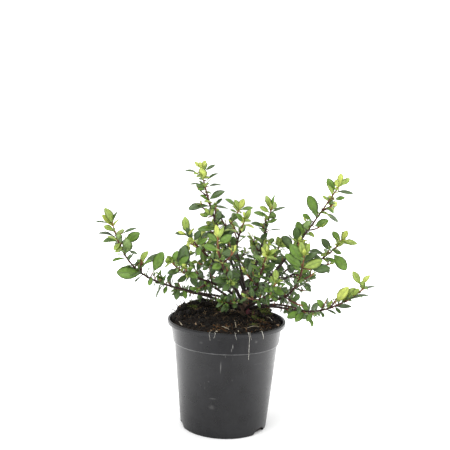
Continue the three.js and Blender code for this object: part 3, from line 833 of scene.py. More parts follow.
def grow_between(mass, draw):
    count = leaf_count(mass, BETWEEN_SPACING)
    first = draw() * math.tau
    for k in range(count):
        done = (k + 0.95) / count
        share = min(lerp(mass["from"], 1, done), 0.985)
        size = mass["shoot"]["leaf"] * lerp(0.38, 0.78, draw())
        spread = lerp(86, 64, done * done)
        leaf = leaf_on(mass, share, first + k * LEAF_TURN, spread, size, draw, SMALL_TILT)
        add_small_leaf(mass, leaf, 0.2 + 0.7 * done)


def grow_rosette(mass, twig, count, size, draw, age=1):
    for k in range(count):
        share = 1 - 0.9 * k / twig["curve"].length
        spread = 10 + 11 * k
        length = size * (0.28 + 0.06 * k + 0.08 * draw())
        add_small_leaf(mass, leaf_on(twig, share, 2.1 + k * LEAF_TURN, spread, length, draw), age)


# %% Fine twigs, and tufts on the boughs


def random_spoke(mass, share, draw):
    """The way the shoot runs at a place, and a way out from it at random"""
    along, side, over = frame_at(mass["curve"], share, mass["reference"])
    return along, spoke(side, over, math.tau * draw())


def grow_fine_twigs(mass, draw):
    size = mass["shoot"]["leaf"]
    length = mass["curve"].length * (1 - mass["from"])
    count = math.floor(length / LEAF_SPACING / FINE_TWIG_EVERY)
    for k in range(count):
        done = (k + 0.4) / (count + 0.6)
        share = lerp(mass["from"], 1, done)
        along, outward = random_spoke(mass, share, draw)
        heading = unit(along * 0.6 + outward + UP * 0.3)
        reach = lerp(17, 9, done) * (0.8 + 0.4 * draw())
        twig = short_twig(place_on(mass, share), heading, reach, 0.2, FINE_TWIG_RADIUS)
        ends = [twig["curve"].place(at) for at in (0.4, 0.7, 1)]
        boxes = boxes_along(twig["curve"], 0.2, 1, twig["radius"], 1, twig["reference"])
        if not all(clears_pot(end) for end in ends) or not room.is_clear(boxes[0], mass["owner"]):
            continue
        mass["fine_twigs"].append(twig)
        leaves = 3 + math.floor(3 * draw())
        for j in range(leaves):
            at = (j + 0.8) / (leaves + 0.4)
            leaf = leaf_on(twig, at, j * LEAF_TURN, 60 - 20 * at, size * lerp(0.26, 0.46, draw()), draw)
            add_small_leaf(mass, leaf, 0.45 + 0.4 * at)
        grow_rosette(mass, twig, 3, size * 0.8, draw, FINE_TWIG_TIP_AGE)


def grow_bough_tufts(mass, draw):
    bare = mass["shoot"]["bare"]
    count = math.floor(0.5 * mass["curve"].length * bare / BOUGH_TUFT_SPACING)
    for k in range(count):
        share = bare * lerp(0.3, 1, (k + 0.2 + 0.6 * draw()) / count)
        along, outward = random_spoke(mass, share, draw)
        base = mass["curve"].place(share)
        size = mass["shoot"]["leaf"] * lerp(0.26, 0.42, draw())
        length, leaves = lerp(3, 7, draw()), 1 + math.floor(3 * draw())
        grow_spur(mass, base, along, outward, length, leaves, size, TUFT_AGE, draw)


# %% [markdown]
# ## Leaves that can be told apart
#
# On the outer shoots and the front of the crown single leaves stand out, and no rule would put a leaf
# just there. So they are placed one by one: how far along its shoot a leaf joins, where its tip is
# from there, how far it is turned out of full view, and its colour stage, which is partly its age and
# partly painted shade and light: leaves turned edge on are given the darkest colour. A leaf whose foot
# stands off the shoot gets a short spur to stand on. Leaves of the rule that would meet one of these give way
# to it.

# %% Leaves that can be told apart in the photo
TOLD_ROOT = 0.3
TOLD_END = 0.42
TOLD_SMALLEST = 5.0
SIDEWAYS = 0.5
# Percent of the shoot, tip from there in millimetres, turn in degrees from broad to edge on, colour stage
# from old to young (partly age, partly painted shade and light: edge-on leaves get the darkest), and for
# a leaf that stands off the shoot its foot from there
TOLD_LEAVES = {
    "left_arch": (
        (85, (21, -1, 14), 5, 1, (5, 0, 3)), (63, (-27, -4, 2), 10, 1), (58, (13, -1, 28), 5, 1, (3, 0, 6)),
        (66, (22, 9, 19), 60, 0, (4, 2, 5)), (97, (-8, 2, 19), 42, 2), (96, (-12, -1, 13), 45, 3),
        (94, (-11, -3, 5), 15, 2), (99, (5, 4, 12), 62, 0), (99, (-18, 0, 1), 66, 0, (-5, 0, -1)),
        (95, (-13, 3, 0), 69, 0), (91, (-20, 4, 3), 69, 0, (-2, 1, -1)), (91, (21, 3, 9), 69, 0, (6, 1, 2)),
        (86, (-5, -5, -6), 15, 2, (2, -1, 1)), (83, (-6, -4, -4), 15, 2, (3, -1, 2)),
        (80, (15, 3, -1), 69, 0, (4, 1, 2)), (80, (9, -2, 6), 30, 1, (2, -1, 2)),
        (57, (-2, -6, -6), 20, 1, (1, -1, 3)), (55, (10, -5, -2), 20, 1, (2, -1, 5)),
        (69, (13, -1, 18), 35, 2, (5, 0, 5)), (48, (7, -3, 12), 20, 0, (1, -1, 3)),
        (47, (-3, -6, -8), 20, 1), (40, (-2, -7, -11), 15, 0), (37, (3, -7, -8), 20, 1),
        (83, (11, -1, 5), 30, 2, (4, 0, 2)),
    ),
    "back_tall": (
        (100, (-7, -1, 7), 8, 3), (100, (5, 2, 9), 8, 3), (98, (-2, -2, 10), 10, 3),
        (97, (-19, 1, 2), 69, 0, (-5, 0, -1)), (97, (14, 3, 9), 69, 0, (3, 1, 1)),
        (90, (15, 0, 9), 62, 0, (3, 0, 1)), (88, (-17, 1, -1), 69, 0, (-3, 0, -1)),
        (85, (17, 3, 4), 62, 0, (3, 1, 1)), (83, (-9, -3, 1), 45, 1), (78, (-9, 2, 0), 55, 1),
        (75, (17, -1, 10), 40, 0), (70, (-24, -2, -2), 62, 0), (69, (19, 2, -1), 62, 0, (3, 1, 1)),
        (94, (-7, -3, 0), 35, 2), (92, (7, -3, 2), 40, 2), (69, (12, -1, 10), 40, 0, (5, 0, 2)),
        (82, (6, -3, -2), 50, 1), (72, (-5, -3, 4), 50, 2, (3, -1, 1)),
        (95, (-10, -3, 2), 45, 2, (-3, -1, 0)), (87, (-6, -3, 4), 55, 1), (74, (-9, -2, 7), 50, 1),
        (65, (-11, -4, -4), 30, 1), (63, (13, -3, -2), 30, 0), (63, (-9, -3, 7), 10, 2, (-4, -1, -1)),
        (62, (-1, -3, 8), 10, 2, (-3, -1, -1)), (62, (-15, -4, 2), 20, 2, (-6, -1, -2)),
    ),
    "right_tall": (
        (100, (1, 2, 13), 8, 3), (100, (10, -1, 8), 8, 2), (94, (-8, 0, 15), 8, 1),
        (97, (-3, -2, 2), 30, 2, (2, -1, -2)), (90, (14, -3, 1), 40, 1, (3, -1, -2)),
        (95, (19, 2, -1), 69, 0), (74, (-11, 0, 22), 8, 1), (67, (17, -3, 6), 0, 1, (2, -1, -2)),
        (56, (-6, -2, 17), 8, 1), (79, (18, 1, -11), 62, 0, (3, 0, -2)), (83, (9, -3, -7), 60, 1),
        (76, (-6, 3, 5), 50, 1), (87, (-7, -2, 6), 35, 2), (69, (-12, -2, 9), 40, 1, (-2, -1, 2)),
        (62, (7, -4, -6), 30, 2),
    ),
    "right_middle": (
        (99, (5, 1, 11), 8, 3), (97, (-9, -1, 11), 8, 1), (98, (17, -4, -2), 35, 2),
        (85, (-11, -1, 14), 25, 0), (85, (17, -6, -19), 8, 1, (2, -1, -2)), (86, (10, -4, -2), 30, 1),
        (75, (6, -4, -2), 30, 2), (79, (-17, 3, 6), 62, 0), (84, (-11, -5, -4), 35, 2),
        (90, (9, -3, 9), 30, 2),
    ),
    "front_right": (
        (87, (28, -5, 2), 10, 0, (9, -1, -1)), (87, (19, -4, 9), 10, 2), (93, (-14, -2, 18), 8, 1),
        (98, (-4, -3, 15), 10, 2), (98, (5, -1, 14), 15, 2), (88, (-18, -4, 13), 25, 1),
        (84, (-11, -5, 10), 25, 1), (93, (13, -2, 11), 25, 0),
    ),
    "right_low": (
        (76, (11, -3, 20), 0, 3, (-1, -1, 3)), (80, (13, -2, 16), 8, 2),
        (98, (-11, 0, 18), 25, 2, (-3, 0, 4)), (99, (4, 0, 14), 40, 3, (-3, 0, 3)),
        (85, (21, -1, 6), 69, 0), (74, (18, -2, 2), 69, 0), (68, (12, -2, -4), 69, 0),
        (97, (14, 1, 5), 69, 0), (68, (-9, -3, 10), 20, 1), (59, (-6, -7, -9), 20, 1),
        (53, (-9, -7, -9), 15, 1), (50, (-13, -7, -6), 12, 1), (58, (1, -8, -14), 35, 1, (0, -2, -7)),
        (56, (-8, -3, 11), 30, 1), (89, (5, -3, 9), 20, 2), (69, (4, -3, 9), 30, 2),
    ),
    "left_upper": (
        (99, (-2, -1, 16), 8, 2), (95, (-11, -2, 4), 30, 3, (-2, -1, -1)), (95, (-14, -3, 2), 62, 0),
        (88, (-6, -3, 13), 20, 0), (86, (7, -3, 12), 25, 0), (80, (10, -4, 8), 30, 1),
    ),
    "left_low": (
        (82, (3, -5, 28), 10, 0), (95, (-7, -2, 9), 25, 2), (97, (4, -1, 13), 30, 1),
        (74, (-8, -9, -7), 10, 0), (83, (-14, -6, -2), 30, 0), (71, (8, -7, -10), 20, 0),
        (90, (11, -4, 12), 30, 1),
    ),
    "centre_right": (
        (96, (-6, 0, 16), 35, 2), (100, (2, 1, 13), 55, 1), (92, (-12, -2, 7), 45, 2),
        (93, (17, -1, 7), 62, 0), (88, (-17, -4, 5), 55, 1), (74, (-16, -2, 7), 62, 0),
        (73, (17, -2, 1), 69, 0, (3, -1, -1)), (84, (-6, -5, -11), 30, 0),
        (71, (-5, -6, -10), 25, 0, (3, -1, -1)), (80, (10, -2, 5), 35, 1), (100, (-8, -2, 7), 40, 2),
    ),
    "back_bent": (
        (98, (5, 2, 14), 25, 3), (97, (-6, 0, 10), 35, 2), (100, (15, 0, 3), 60, 1),
        (100, (-16, 0, 13), 60, 1, (-4, 0, 3)), (99, (-5, 0, 12), 30, 2), (95, (-8, -3, 4), 50, 1),
        (91, (-7, -5, -8), 20, 0),
    ),
    "front_left": (
        (100, (-2, -3, 12), 20, 3), (98, (5, -3, 11), 20, 2), (95, (-10, -4, 8), 20, 1),
        (93, (13, -4, 10), 10, 1), (87, (-14, -6, 5), 8, 1), (82, (19, -5, 6), 8, 0),
    ),
    "centre": (
        (99, (6, -2, 13), 25, 2), (96, (-8, -3, 10), 30, 1),
    ),
}
print(sum(len(rows) for rows in TOLD_LEAVES.values()), "leaves on", len(TOLD_LEAVES), "shoots")

# %% Setting a told leaf, and what gives way to it


def told_leaf(mass, percent, tip, turn, stage, foot=(0, 0, 0)):
    """A leaf whose tip is given. A foot that stands off the shoot gets a short spur to stand on."""
    start = place_on(mass, min(percent / 100, LAST_PLACE))
    base = start + foot
    along = unit(np.array(tip) - foot)
    front = square_to(along, np.array(CAMERA_PLACE) / MM - base)
    over = np.cross(along, front)
    over = over if over[2] > 0 else -over
    face = spoke(front, over, math.radians(turn))
    if any(foot):
        heading, length = unit(base - start), np.linalg.norm(base - start)
        mass["spurs"].append(short_twig(start, heading, length, 0, FINE_TWIG_RADIUS))
    length = np.linalg.norm(np.array(tip) - foot)
    # The given stage sets the leaf's colour and is partly age and partly painted shade and light.
    return dict(base=base, along=along, face=face, length=length, age=0.5, stage=stage)


def gives_way(leaf, mass, told):
    """True for a leaf of the rule that meets a told one, or that grows sideways near the tip of its shoot"""
    if meets_any(leaf_box(leaf, TOLD_ROOT), [leaf_box(other, TOLD_ROOT) for other in told]):
        return True
    to_camera = unit(np.array(CAMERA_PLACE) / MM - leaf["base"])
    from_tip = np.linalg.norm(leaf["base"] - mass["curve"].place(1)) / mass["curve"].length
    sideways = abs(np.dot(leaf["along"], to_camera)) < SIDEWAYS
    return from_tip < TOLD_END and sideways and leaf["length"] > TOLD_SMALLEST


def grow_told(mass):
    told = [told_leaf(mass, *row) for row in TOLD_LEAVES.get(mass["shoot"]["name"], ())]
    if told:
        for kind in ("leaves", "small_leaves"):
            mass[kind] = [leaf for leaf in mass[kind] if not gives_way(leaf, mass, told)]
    mass["told_leaves"] = told


def grow_finer(mass):
    draw = seeded(mass["shoot"]["seed"] + EXTRA_SEED)
    size = mass["shoot"]["leaf"]
    mass.update(reach=reach_of(mass), small_leaves=[], spurs=[], fine_twigs=[])
    grow_axils(mass, draw)
    grow_between(mass, draw)
    grow_fine_twigs(mass, draw)
    grow_bough_tufts(mass, draw)
    grow_rosette(mass, mass, 5, size, draw)
    for twig in mass["twigs"]:
        grow_rosette(mass, twig, 4, 0.85 * size, draw, SIDE_TWIG_TIP_AGE)
    grow_told(mass)


for mass in masses:
    grow_finer(mass)
for kind in ("small_leaves", "told_leaves", "spurs", "fine_twigs"):
    print(sum(len(mass[kind]) for mass in masses), kind.replace("_", " "))

# %% [markdown]
# ## Surface effects that several finishes share
#
# A shader node group is a small tool made once and placed in many materials. These three give a
# mottled colour, a fine grain as a bumped normal, and the side veins and darker margin of a leaf. The
# groups put out only colours, masks and normals, and each material keeps its own shader.

# %% Groups, and the last step that most finishes share
GRAIN_DEPTH = 0.0004


def new_tree(name, inputs, outputs, kind="ShaderNodeTree"):
    """A node tree with its named inputs and outputs, each with its kind of socket and perhaps a value"""
    tree = bpy.data.node_groups.new(name, kind)
    for way, sockets in (("INPUT", inputs), ("OUTPUT", outputs)):
        for label, socket, *value in sockets:
            made = tree.interface.new_socket(name=label, in_out=way, socket_type="NodeSocket" + socket)
            if value:
                made.default_value = value[0]
    return tree, tree.nodes.new("NodeGroupInput").outputs, tree.nodes.new("NodeGroupOutput").inputs


def place_group(tree, group, **values):
    return add_node(tree, "ShaderNodeGroup", node_tree=group, **values)


def mottled(tree, plain, cloud, per_metre, contrast, amount=1.0):
    """The colour and the mask of clouds of one colour on another"""
    kinds = dict(Plain=plain, Cloud=cloud, Per_metre=per_metre, Amount=amount, Contrast=contrast)
    return place_group(tree, MOTTLE, **kinds).outputs


def coat(tree, shader, color, per_metre, strength, height=None):
    """Gives the shader its colour and its grain"""
    tree.links.new(color, shader.inputs["Base Color"])
    grain = place_group(tree, GRAIN, Per_metre=per_metre, Strength=strength, Height=height)
    tree.links.new(grain.outputs["Normal"], shader.inputs["Normal"])


# %% Mottle, grain and veins


def make_mottle_group():
    """Two colours mixed by clouds of noise, in sizes counted per metre"""
    tree, given, result = new_tree(
        "mottle",
        [
            ("Plain", "Color", (0.5, 0.5, 0.5, 1)),
            ("Cloud", "Color", (0.5, 0.5, 0.5, 1)),
            ("Per metre", "Float", 100.0),
            ("Amount", "Float", 1.0),
            ("Contrast", "Float", 2.0),
        ],
        [("Color", "Color"), ("Mask", "Float")],
    )
    cloud = noise_node(tree, object_place(tree), given["Per metre"], 4.0, 0.6)
    centred = math_node(tree, "SUBTRACT", cloud, 0.5)
    steep = times(tree, centred, given["Contrast"])
    mask = clamped(tree, math_node(tree, "ADD", steep, 0.5))
    share = times(tree, mask, given["Amount"])
    color = mix_colors(tree, share, given["Plain"], given["Cloud"])
    tree.links.new(color, result["Color"])
    tree.links.new(share, result["Mask"])
    return tree


def make_grain_group():
    """A normal roughened by coarse and fine noise"""
    tree, given, result = new_tree(
        "grain",
        [("Per metre", "Float", 800.0), ("Strength", "Float", 0.3), ("Height", "Float", 0.0)],
        [("Normal", "Vector")],
    )
    rough = noise_node(tree, object_place(tree), given["Per metre"], 5.0, 0.65)
    height = math_node(tree, "ADD", rough, given["Height"])
    strength = given["Strength"]
    bump = add_node(tree, "ShaderNodeBump", Distance=GRAIN_DEPTH, Strength=strength, Height=height)
    tree.links.new(bump.outputs["Normal"], result["Normal"])
    return tree


def make_vein_group():
    """Side veins that leave the midrib aslant: u runs along the leaf, v from -1 to 1 across it"""
    tree, given, result = new_tree(
        "side_veins",
        [("Count", "Float", 7.0), ("Slant", "Float", 0.22)],
        [("Mask", "Float"), ("Margin", "Float")],
    )
    place = split_place(tree, add_node(tree, "ShaderNodeUVMap", uv_map="leaf_uv").outputs["UV"])
    sideways = math_node(tree, "ABSOLUTE", place["Y"])
    slanted = times(tree, sideways, given["Slant"])
    along = math_node(tree, "SUBTRACT", place["X"], slanted)
    turns = times(tree, times(tree, along, given["Count"]), math.pi)
    wave = math_node(tree, "ABSOLUTE", math_node(tree, "SINE", turns))
    thin = math_node(tree, "POWER", math_node(tree, "SUBTRACT", 1.0, wave), 5.0)
    tree.links.new(thin, result["Mask"])
    tree.links.new(remapped(tree, sideways, 0.5, 1.0), result["Margin"])
    return tree


MOTTLE = make_mottle_group()
GRAIN = make_grain_group()
VEINS = make_vein_group()
print("shared effects:", MOTTLE.name, GRAIN.name, VEINS.name)

# %% [markdown]
# ## Leaf finishes
#
# A leaf is dark and glossy above and pale and dull below, and it turns from yellow-green to deep green
# as it ages. Four ages are enough: each is a plain colour of its own, and every leaf gets the age
# that its place on the shoot gives it. The older a leaf is, the glossier it is above. The midrib and
# the short stalk are lighter than the blade, and the blade darkens towards its margin.

# %% Leaf finishes
# Colours of the upper side, the under side and the midrib, and the gloss of the upper side
LEAF_AGES = {
    "old": ((0.050, 0.098, 0.017), (0.105, 0.160, 0.065), (0.070, 0.110, 0.036), 0.5),
    "grown": ((0.116, 0.212, 0.030), (0.155, 0.235, 0.070), (0.110, 0.175, 0.045), 0.34),
    "fresh": ((0.275, 0.370, 0.076), (0.260, 0.350, 0.080), (0.190, 0.260, 0.065), 0.28),
    "young": ((0.455, 0.525, 0.112), (0.400, 0.470, 0.105), (0.330, 0.380, 0.100), 0.22),
}
SIDES = ("upper", "under", "rib")
SIDE_ROUGHNESS = (0.36, 0.62, 0.5)
SIDE_VEINS = (0.35, 0.2, 0.0)
UNDER_GLOSS, RIB_GLOSS = 0.3, 0.35
DARK_PATCH, LIGHT_PATCH = 0.72, 1.34
VEIN_SHADE, MARGIN_SHADE = 1.5, 0.42


def scaled(color, factor):
    return tuple(min(1, channel * factor) for channel in color)


def leaf_finish(name, color, roughness, gloss, vein_strength):
    material, tree, shader = principled(name, color, roughness, gloss)
    patches = mottled(tree, scaled(color, DARK_PATCH), scaled(color, LIGHT_PATCH), 170.0, 2.4)
    veins = place_group(tree, VEINS).outputs
    share = times(tree, veins["Mask"], vein_strength)
    veined = mix_colors(tree, share, patches["Color"], scaled(color, VEIN_SHADE))
    edged = mix_colors(tree, veins["Margin"], veined, scaled(color, MARGIN_SHADE))
    coat(tree, shader, edged, 1500.0, 0.25, veins["Mask"])
    return material


def make_leaf_finishes():
    finishes = {}
    for age, (*colors, gloss) in LEAF_AGES.items():
        glosses = (gloss, UNDER_GLOSS, RIB_GLOSS)
        for side, *look in zip(SIDES, colors, SIDE_ROUGHNESS, glosses, SIDE_VEINS):
            finishes[age, side] = leaf_finish(f"leaf_{age}_{side}", *look)
    return finishes


LEAF_FINISHES = make_leaf_finishes()
print(len(LEAF_FINISHES), "leaf finishes")

# %% [markdown]
# ## Leaf shapes
#
# One leaf is a closed thin shell: rings of ten points that run from the stalk to the tip, with the
# margin shared by the upper and the under side and a narrow strip for the midrib. It is widest past
# its middle, finely toothed towards the tip, folded a little along the midrib and arched back. A few
# shapes that differ in fold, arch and twist are enough, because no two leaves are dealt the same turn.

# %% One leaf as a closed mesh
AROUND_LEAF = 10
BLADE_START = 0.09
RIB_HALF_WIDTH = 0.014
STALK_HALF_WIDTH = 0.022
RING_ACROSS = (-1, -0.55, 0, 0, 0.55, 1, 0.55, 0, 0, -0.55)
FOOT_WEDGE = 0.95
BLADE_THICKNESS = 0.016
KEEL = 0.03
FIRST_TOOTH, LAST_TOOTH = 0.3, 0.97
ARCH_START = 0.2
UPPER, UNDER, RIB = range(3)


def blade_half_width(share, width, fullness):
    """Half the blade's width at a share of its length, with a wedge-shaped foot and a blunt tip"""
    if share <= 0 or share >= 1:
        return 0.0
    peak = FOOT_WEDGE / (FOOT_WEDGE + fullness)
    most = peak**FOOT_WEDGE * (1 - peak) ** fullness
    return 0.5 * width * share**FOOT_WEDGE * (1 - share) ** fullness / most


def leaf_ring(at, shape):
    """Ten points round the leaf at a share of its length"""
    share = (at - BLADE_START) / (1 - BLADE_START)
    half = max(blade_half_width(share, shape["width"], shape["fullness"]), STALK_HALF_WIDTH)
    tooth = shape["tooth"] * half if FIRST_TOOTH < at < LAST_TOOTH and shape["out"] else 0
    edge = half + tooth
    rib = min(RIB_HALF_WIDTH, 0.5 * half)
    middle = 0.55 * half + 0.45 * rib
    keel = KEEL * (1 - 0.7 * at)
    lift = shape["fold"]
    bulge = 0.10 * half
    arch = -shape["arch"] * max(at - ARCH_START, 0) ** 2
    wave = shape["wave"] * math.sin(9 * at + 1) * half
    top = [(-edge, lift * edge + wave), (-middle, lift * middle + bulge), (-rib, 0), (rib, 0)]
    top += [(middle, lift * middle + bulge), (edge, lift * edge - wave)]
    below = [(middle, lift * middle + bulge - BLADE_THICKNESS), (rib, -keel), (-rib, -keel)]
    below += [(-middle, lift * middle + bulge - BLADE_THICKNESS)]
    turn = shape["twist"] * at
    ring = []
    for across, up in top + below:
        y = across * math.cos(turn) - up * math.sin(turn)
        z = across * math.sin(turn) + up * math.cos(turn)
        forward = 0.3 * tooth if abs(across) == edge else 0
        ring.append((min(at + forward, 1), y, z + arch))
    return ring


def make_leaf_shape(name, stations, **shape):
    points, uvs = [], []
    for k, at in enumerate(stations):
        points += leaf_ring(at, {**shape, "out": k % 2})
        uvs += [(at, across) for across in RING_ACROSS]
    points.append((1.0, 0, -shape["arch"] * (1 - ARCH_START) ** 2))
    uvs.append((1, 0))
    faces, parts = [], []
    for k in range(len(stations) - 1):
        for j in range(AROUND_LEAF):
            a, b = AROUND_LEAF * k + j, AROUND_LEAF * k + (j + 1) % AROUND_LEAF
            faces.append((a, a + AROUND_LEAF, b + AROUND_LEAF, b))
            stalk = stations[k + 1] <= BLADE_START
            parts.append(RIB if stalk or j == 2 else (UPPER if j < 5 else UNDER))
    last = AROUND_LEAF * (len(stations) - 1)
    for j in range(AROUND_LEAF):
        faces.append((last + j, len(points) - 1, last + (j + 1) % AROUND_LEAF))
        parts.append(UPPER if j < 5 else UNDER)
    faces.append(tuple(range(AROUND_LEAF)))
    parts.append(RIB)
    leaf = mesh_object(name, points, faces)
    mesh = leaf.data
    mesh.attributes.new("side", "INT", "FACE").data.foreach_set("value", parts)
    layer = mesh.uv_layers.new(name="leaf_uv")
    corner_uvs = [uvs[loop.vertex_index] for loop in mesh.loops]
    layer.data.foreach_set("uv", [value for pair in corner_uvs for value in pair])
    mesh.shade_smooth()
    return leaf


# %% A box of leaf shapes to deal from
LARGE_STATIONS = (0, 0.05, BLADE_START, 0.2, 0.31, 0.42, 0.52, 0.62, 0.71, 0.79, 0.86, 0.92, 0.97)
SMALL_STATIONS = (0, BLADE_START, 0.26, 0.44, 0.6, 0.74, 0.86, 0.95)
LARGE_SHAPES = 7
SMALL_SHAPES = 5
SHAPE_SEED = 77


def make_leaf_box():
    draw = seeded(SHAPE_SEED)
    box = bpy.data.collections.new("leaf_shapes")
    for k in range(LARGE_SHAPES + SMALL_SHAPES):
        large = k < LARGE_SHAPES
        leaf = make_leaf_shape(
            f"leaf_shape_{k:02d}",
            LARGE_STATIONS if large else SMALL_STATIONS,
            width=lerp(0.44, 0.54, draw()) if large else lerp(0.38, 0.50, draw()),
            fullness=lerp(0.68, 1.00, draw()),
            fold=lerp(0.08, 0.32, draw()),
            arch=lerp(0.05, 0.3, draw()),
            twist=lerp(-0.35, 0.35, draw()),
            wave=lerp(0, 0.08, draw()),
            tooth=0.05 if large else 0.03,
        )
        box.objects.link(leaf)
    return box


LEAF_SHAPES = make_leaf_box()
for leaf in LEAF_SHAPES.objects:
    print(leaf.name, len(leaf.data.polygons), "faces")

# %% [markdown]
# ## Dealing the leaves with Geometry Nodes
#
# A cloud of points holds one point for each leaf, with its turn, its size, the shape it is dealt and
# its age as attributes. The node tree puts a leaf on each point, turns the whole into one mesh, and
# gives each age and side of a leaf its finish.
# Low in the crown, where there is little light, leaves are set smaller than the rule says, and older, so that
# their colours are darker: painted shade.

# %% Helpers for node trees that make geometry


def growing_tree(name, *inputs):
    shape = ("Geometry", "Geometry")
    return new_tree(name, [shape, *inputs], [shape], "GeometryNodeTree")


def named_field(tree, name, kind):
    return add_node(tree, "GeometryNodeInputNamedAttribute", data_type=kind, Name=name).outputs["Attribute"]


def dealing_node(tree, points, shapes, **inputs):
    """Puts one shape of a collection on each point"""
    kind = "GeometryNodeCollectionInfo"
    box = add_node(tree, kind, Collection=shapes, Separate_Children=True, Reset_Children=True)
    kind = "GeometryNodeInstanceOnPoints"
    return add_node(tree, kind, Points=points, Instance=box.outputs[0], Pick_Instance=True, **inputs)


def painting_node(tree, finish, which=None):
    return add_node(tree, "GeometryNodeSetMaterial", Material=finish, Selection=which)


def chain(tree, result, *nodes):
    """Links the geometry of each node to the next, and that of the last to the result"""
    for first, second in zip(nodes, nodes[1:]):
        tree.links.new(first.outputs[0], second.inputs[0])
    tree.links.new(nodes[-1].outputs[0], result["Geometry"])


def baked(source, tree, values, spent=()):
    """Runs the tree on the source and returns the plain mesh that it makes, under the source's name"""
    scene.collection.objects.link(source)
    modifier = source.modifiers.new("growth", "NODES")
    modifier.node_group = tree
    for item in tree.interface.items_tree:
        if item.in_out == "INPUT" and item.name in values:
            modifier[item.identifier] = values[item.name]
    graph = bpy.context.evaluated_depsgraph_get()
    mesh = bpy.data.meshes.new_from_object(source.evaluated_get(graph))
    name = source.name
    bpy.data.objects.remove(source)
    for word in spent:
        if word in mesh.attributes:
            mesh.attributes.remove(mesh.attributes[word])
    if mesh.materials[0] is None:
        mesh.materials.pop(index=0)
    mesh.name = name
    piece = bpy.data.objects.new(name, mesh)
    scene.collection.objects.link(piece)
    return piece


def hand_over(piece, slot, *nodes):
    """The piece rides on the plant's one body and stands for these nodes, which it hides. The slot is not
    used.
    """
    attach(piece, BODY)
    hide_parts(*nodes)
    print(piece.name, sum(len(face.vertices) - 2 for face in piece.data.polygons), "triangles")


# %% The tree that deals leaves


def leaf_dealing_tree():
    tree, given, result = growing_tree("deal_leaves", ("Leaf shapes", "Collection"), ("Size", "Float"))
    size = times(tree, named_field(tree, "size", "FLOAT"), given["Size"])
    deal = dealing_node(
        tree,
        given["Geometry"],
        given["Leaf shapes"],
        Instance_Index=named_field(tree, "kind", "INT"),
        Rotation=named_field(tree, "turn", "QUATERNION"),
        Scale=size,
    )
    steps = [deal, tree.nodes.new("GeometryNodeRealizeInstances")]
    age, side = named_field(tree, "age", "INT"), named_field(tree, "side", "INT")
    for a, age_word in enumerate(LEAF_AGES):
        for s, side_word in enumerate(SIDES):
            both = tree.nodes.new("FunctionNodeBooleanMath")
            tree.links.new(is_number(tree, age, a), both.inputs[0])
            tree.links.new(is_number(tree, side, s), both.inputs[1])
            steps.append(painting_node(tree, LEAF_FINISHES[age_word, side_word], both.outputs[0]))
    chain(tree, result, *steps)
    return tree


def is_number(tree, field, number):
    node = add_node(tree, "FunctionNodeCompare", data_type="INT", operation="EQUAL")
    fill(tree, node.inputs[2], field)
    fill(tree, node.inputs[3], number)
    return node.outputs[0]


# %% One point for each leaf, by part of the crown
AGE_STEPS = (0.38, 0.74, 0.94)
AGE_SPREAD = 0.34
LARGE_LEAF = 10.5
LEAF_SCALE = 1.05
TIP_AGE = 0.87
TIP_LEAF_SCALE = 0.95
LOW_LEAVES = (148, 204)
LOW_LEAF_SCALE = 0.68
LOW_LEAF_SHADE = 0.5
SMALL_LEAF_AGE = 0.13
DEAL_SEED = 9000


def crown_part(shoot):
    if shoot["tier"] in ("top", "high"):
        return shoot["tier"]
    side = "front" if math.sin(math.radians(shoot["heading"])) < 0 else "back"
    return shoot["tier"] + "_" + side


def leaf_rows(mass):
    draw = seeded(mass["shoot"]["seed"] + DEAL_SEED)
    rows = []
    for leaf in mass["leaves"] + mass["small_leaves"] + mass["told_leaves"]:
        across = np.cross(leaf["face"], leaf["along"])
        turn = Matrix(np.column_stack([leaf["along"], across, leaf["face"]]).tolist()).to_quaternion()
        if leaf["length"] > LARGE_LEAF:
            kind = math.floor(draw() * LARGE_SHAPES)
        else:
            kind = LARGE_SHAPES + math.floor(draw() * SMALL_SHAPES)
        age = leaf["age"] + AGE_SPREAD * (draw() - 0.5)
        # Painted shade: low in the crown a leaf is made older, and so darker, by its height alone.
        age -= LOW_LEAF_SHADE * (1 - smoothstep(leaf["base"][2], *LOW_LEAVES))
        age += SMALL_LEAF_AGE if leaf["length"] < LARGE_LEAF else 0
        stage = sum(age > step for step in AGE_STEPS)
        shrink = TIP_LEAF_SCALE if leaf["age"] > TIP_AGE else 1
        shrink *= lerp(LOW_LEAF_SCALE, 1, smoothstep(leaf["base"][2], *LOW_LEAVES))
        if "stage" in leaf:
            stage, shrink = leaf["stage"], 1
        rows.append((leaf["base"] * MM, turn, leaf["length"] * shrink * MM, kind, stage))
    return rows


def leaf_points(name, rows):
    cloud = mesh_object(name, [row[0] for row in rows])
    columns = (("turn", "QUATERNION", 1), ("size", "FLOAT", 2), ("kind", "INT", 3), ("age", "INT", 4))
    for word, kind, k in columns:
        layer = cloud.data.attributes.new(word, kind, "POINT")
        values = [v for row in rows for v in row[k]] if kind == "QUATERNION" else [row[k] for row in rows]
        layer.data.foreach_set("value", values)
    return cloud


def deal_crown():
    tree = leaf_dealing_tree()
    parts = {}
    for mass in masses:
        parts.setdefault(crown_part(mass["shoot"]), []).append(mass)
    for part, members in parts.items():
        rows = [row for mass in members for row in leaf_rows(mass)]
        values = {"Leaf shapes": LEAF_SHAPES, "Size": LEAF_SCALE}
        spent = ("turn", "size", "kind", "age", "side")
        leaves = baked(leaf_points("leaves_" + part, rows), tree, values, spent)
        hand_over(leaves, "foliage", *("foliage_" + mass["shoot"]["name"] for mass in members))


deal_crown()

# %% [markdown]
# ## Bark
#
# Old wood is dark and rough, a young shoot is thin, reddish and nearly smooth, and its tip is green.
# Every limb carries its own ripeness from foot to tip as an attribute, and one colour ramp turns that
# into bark, so a bough and the shoot that grows on from it share their colours.

# %% Bark finishes
BARK_RAMP = (
    (0.0, (0.010, 0.007, 0.006)),
    (0.30, (0.018, 0.010, 0.008)),
    (0.62, (0.032, 0.012, 0.010)),
    (0.86, (0.085, 0.026, 0.018)),
    (1.0, (0.230, 0.115, 0.040)),
)


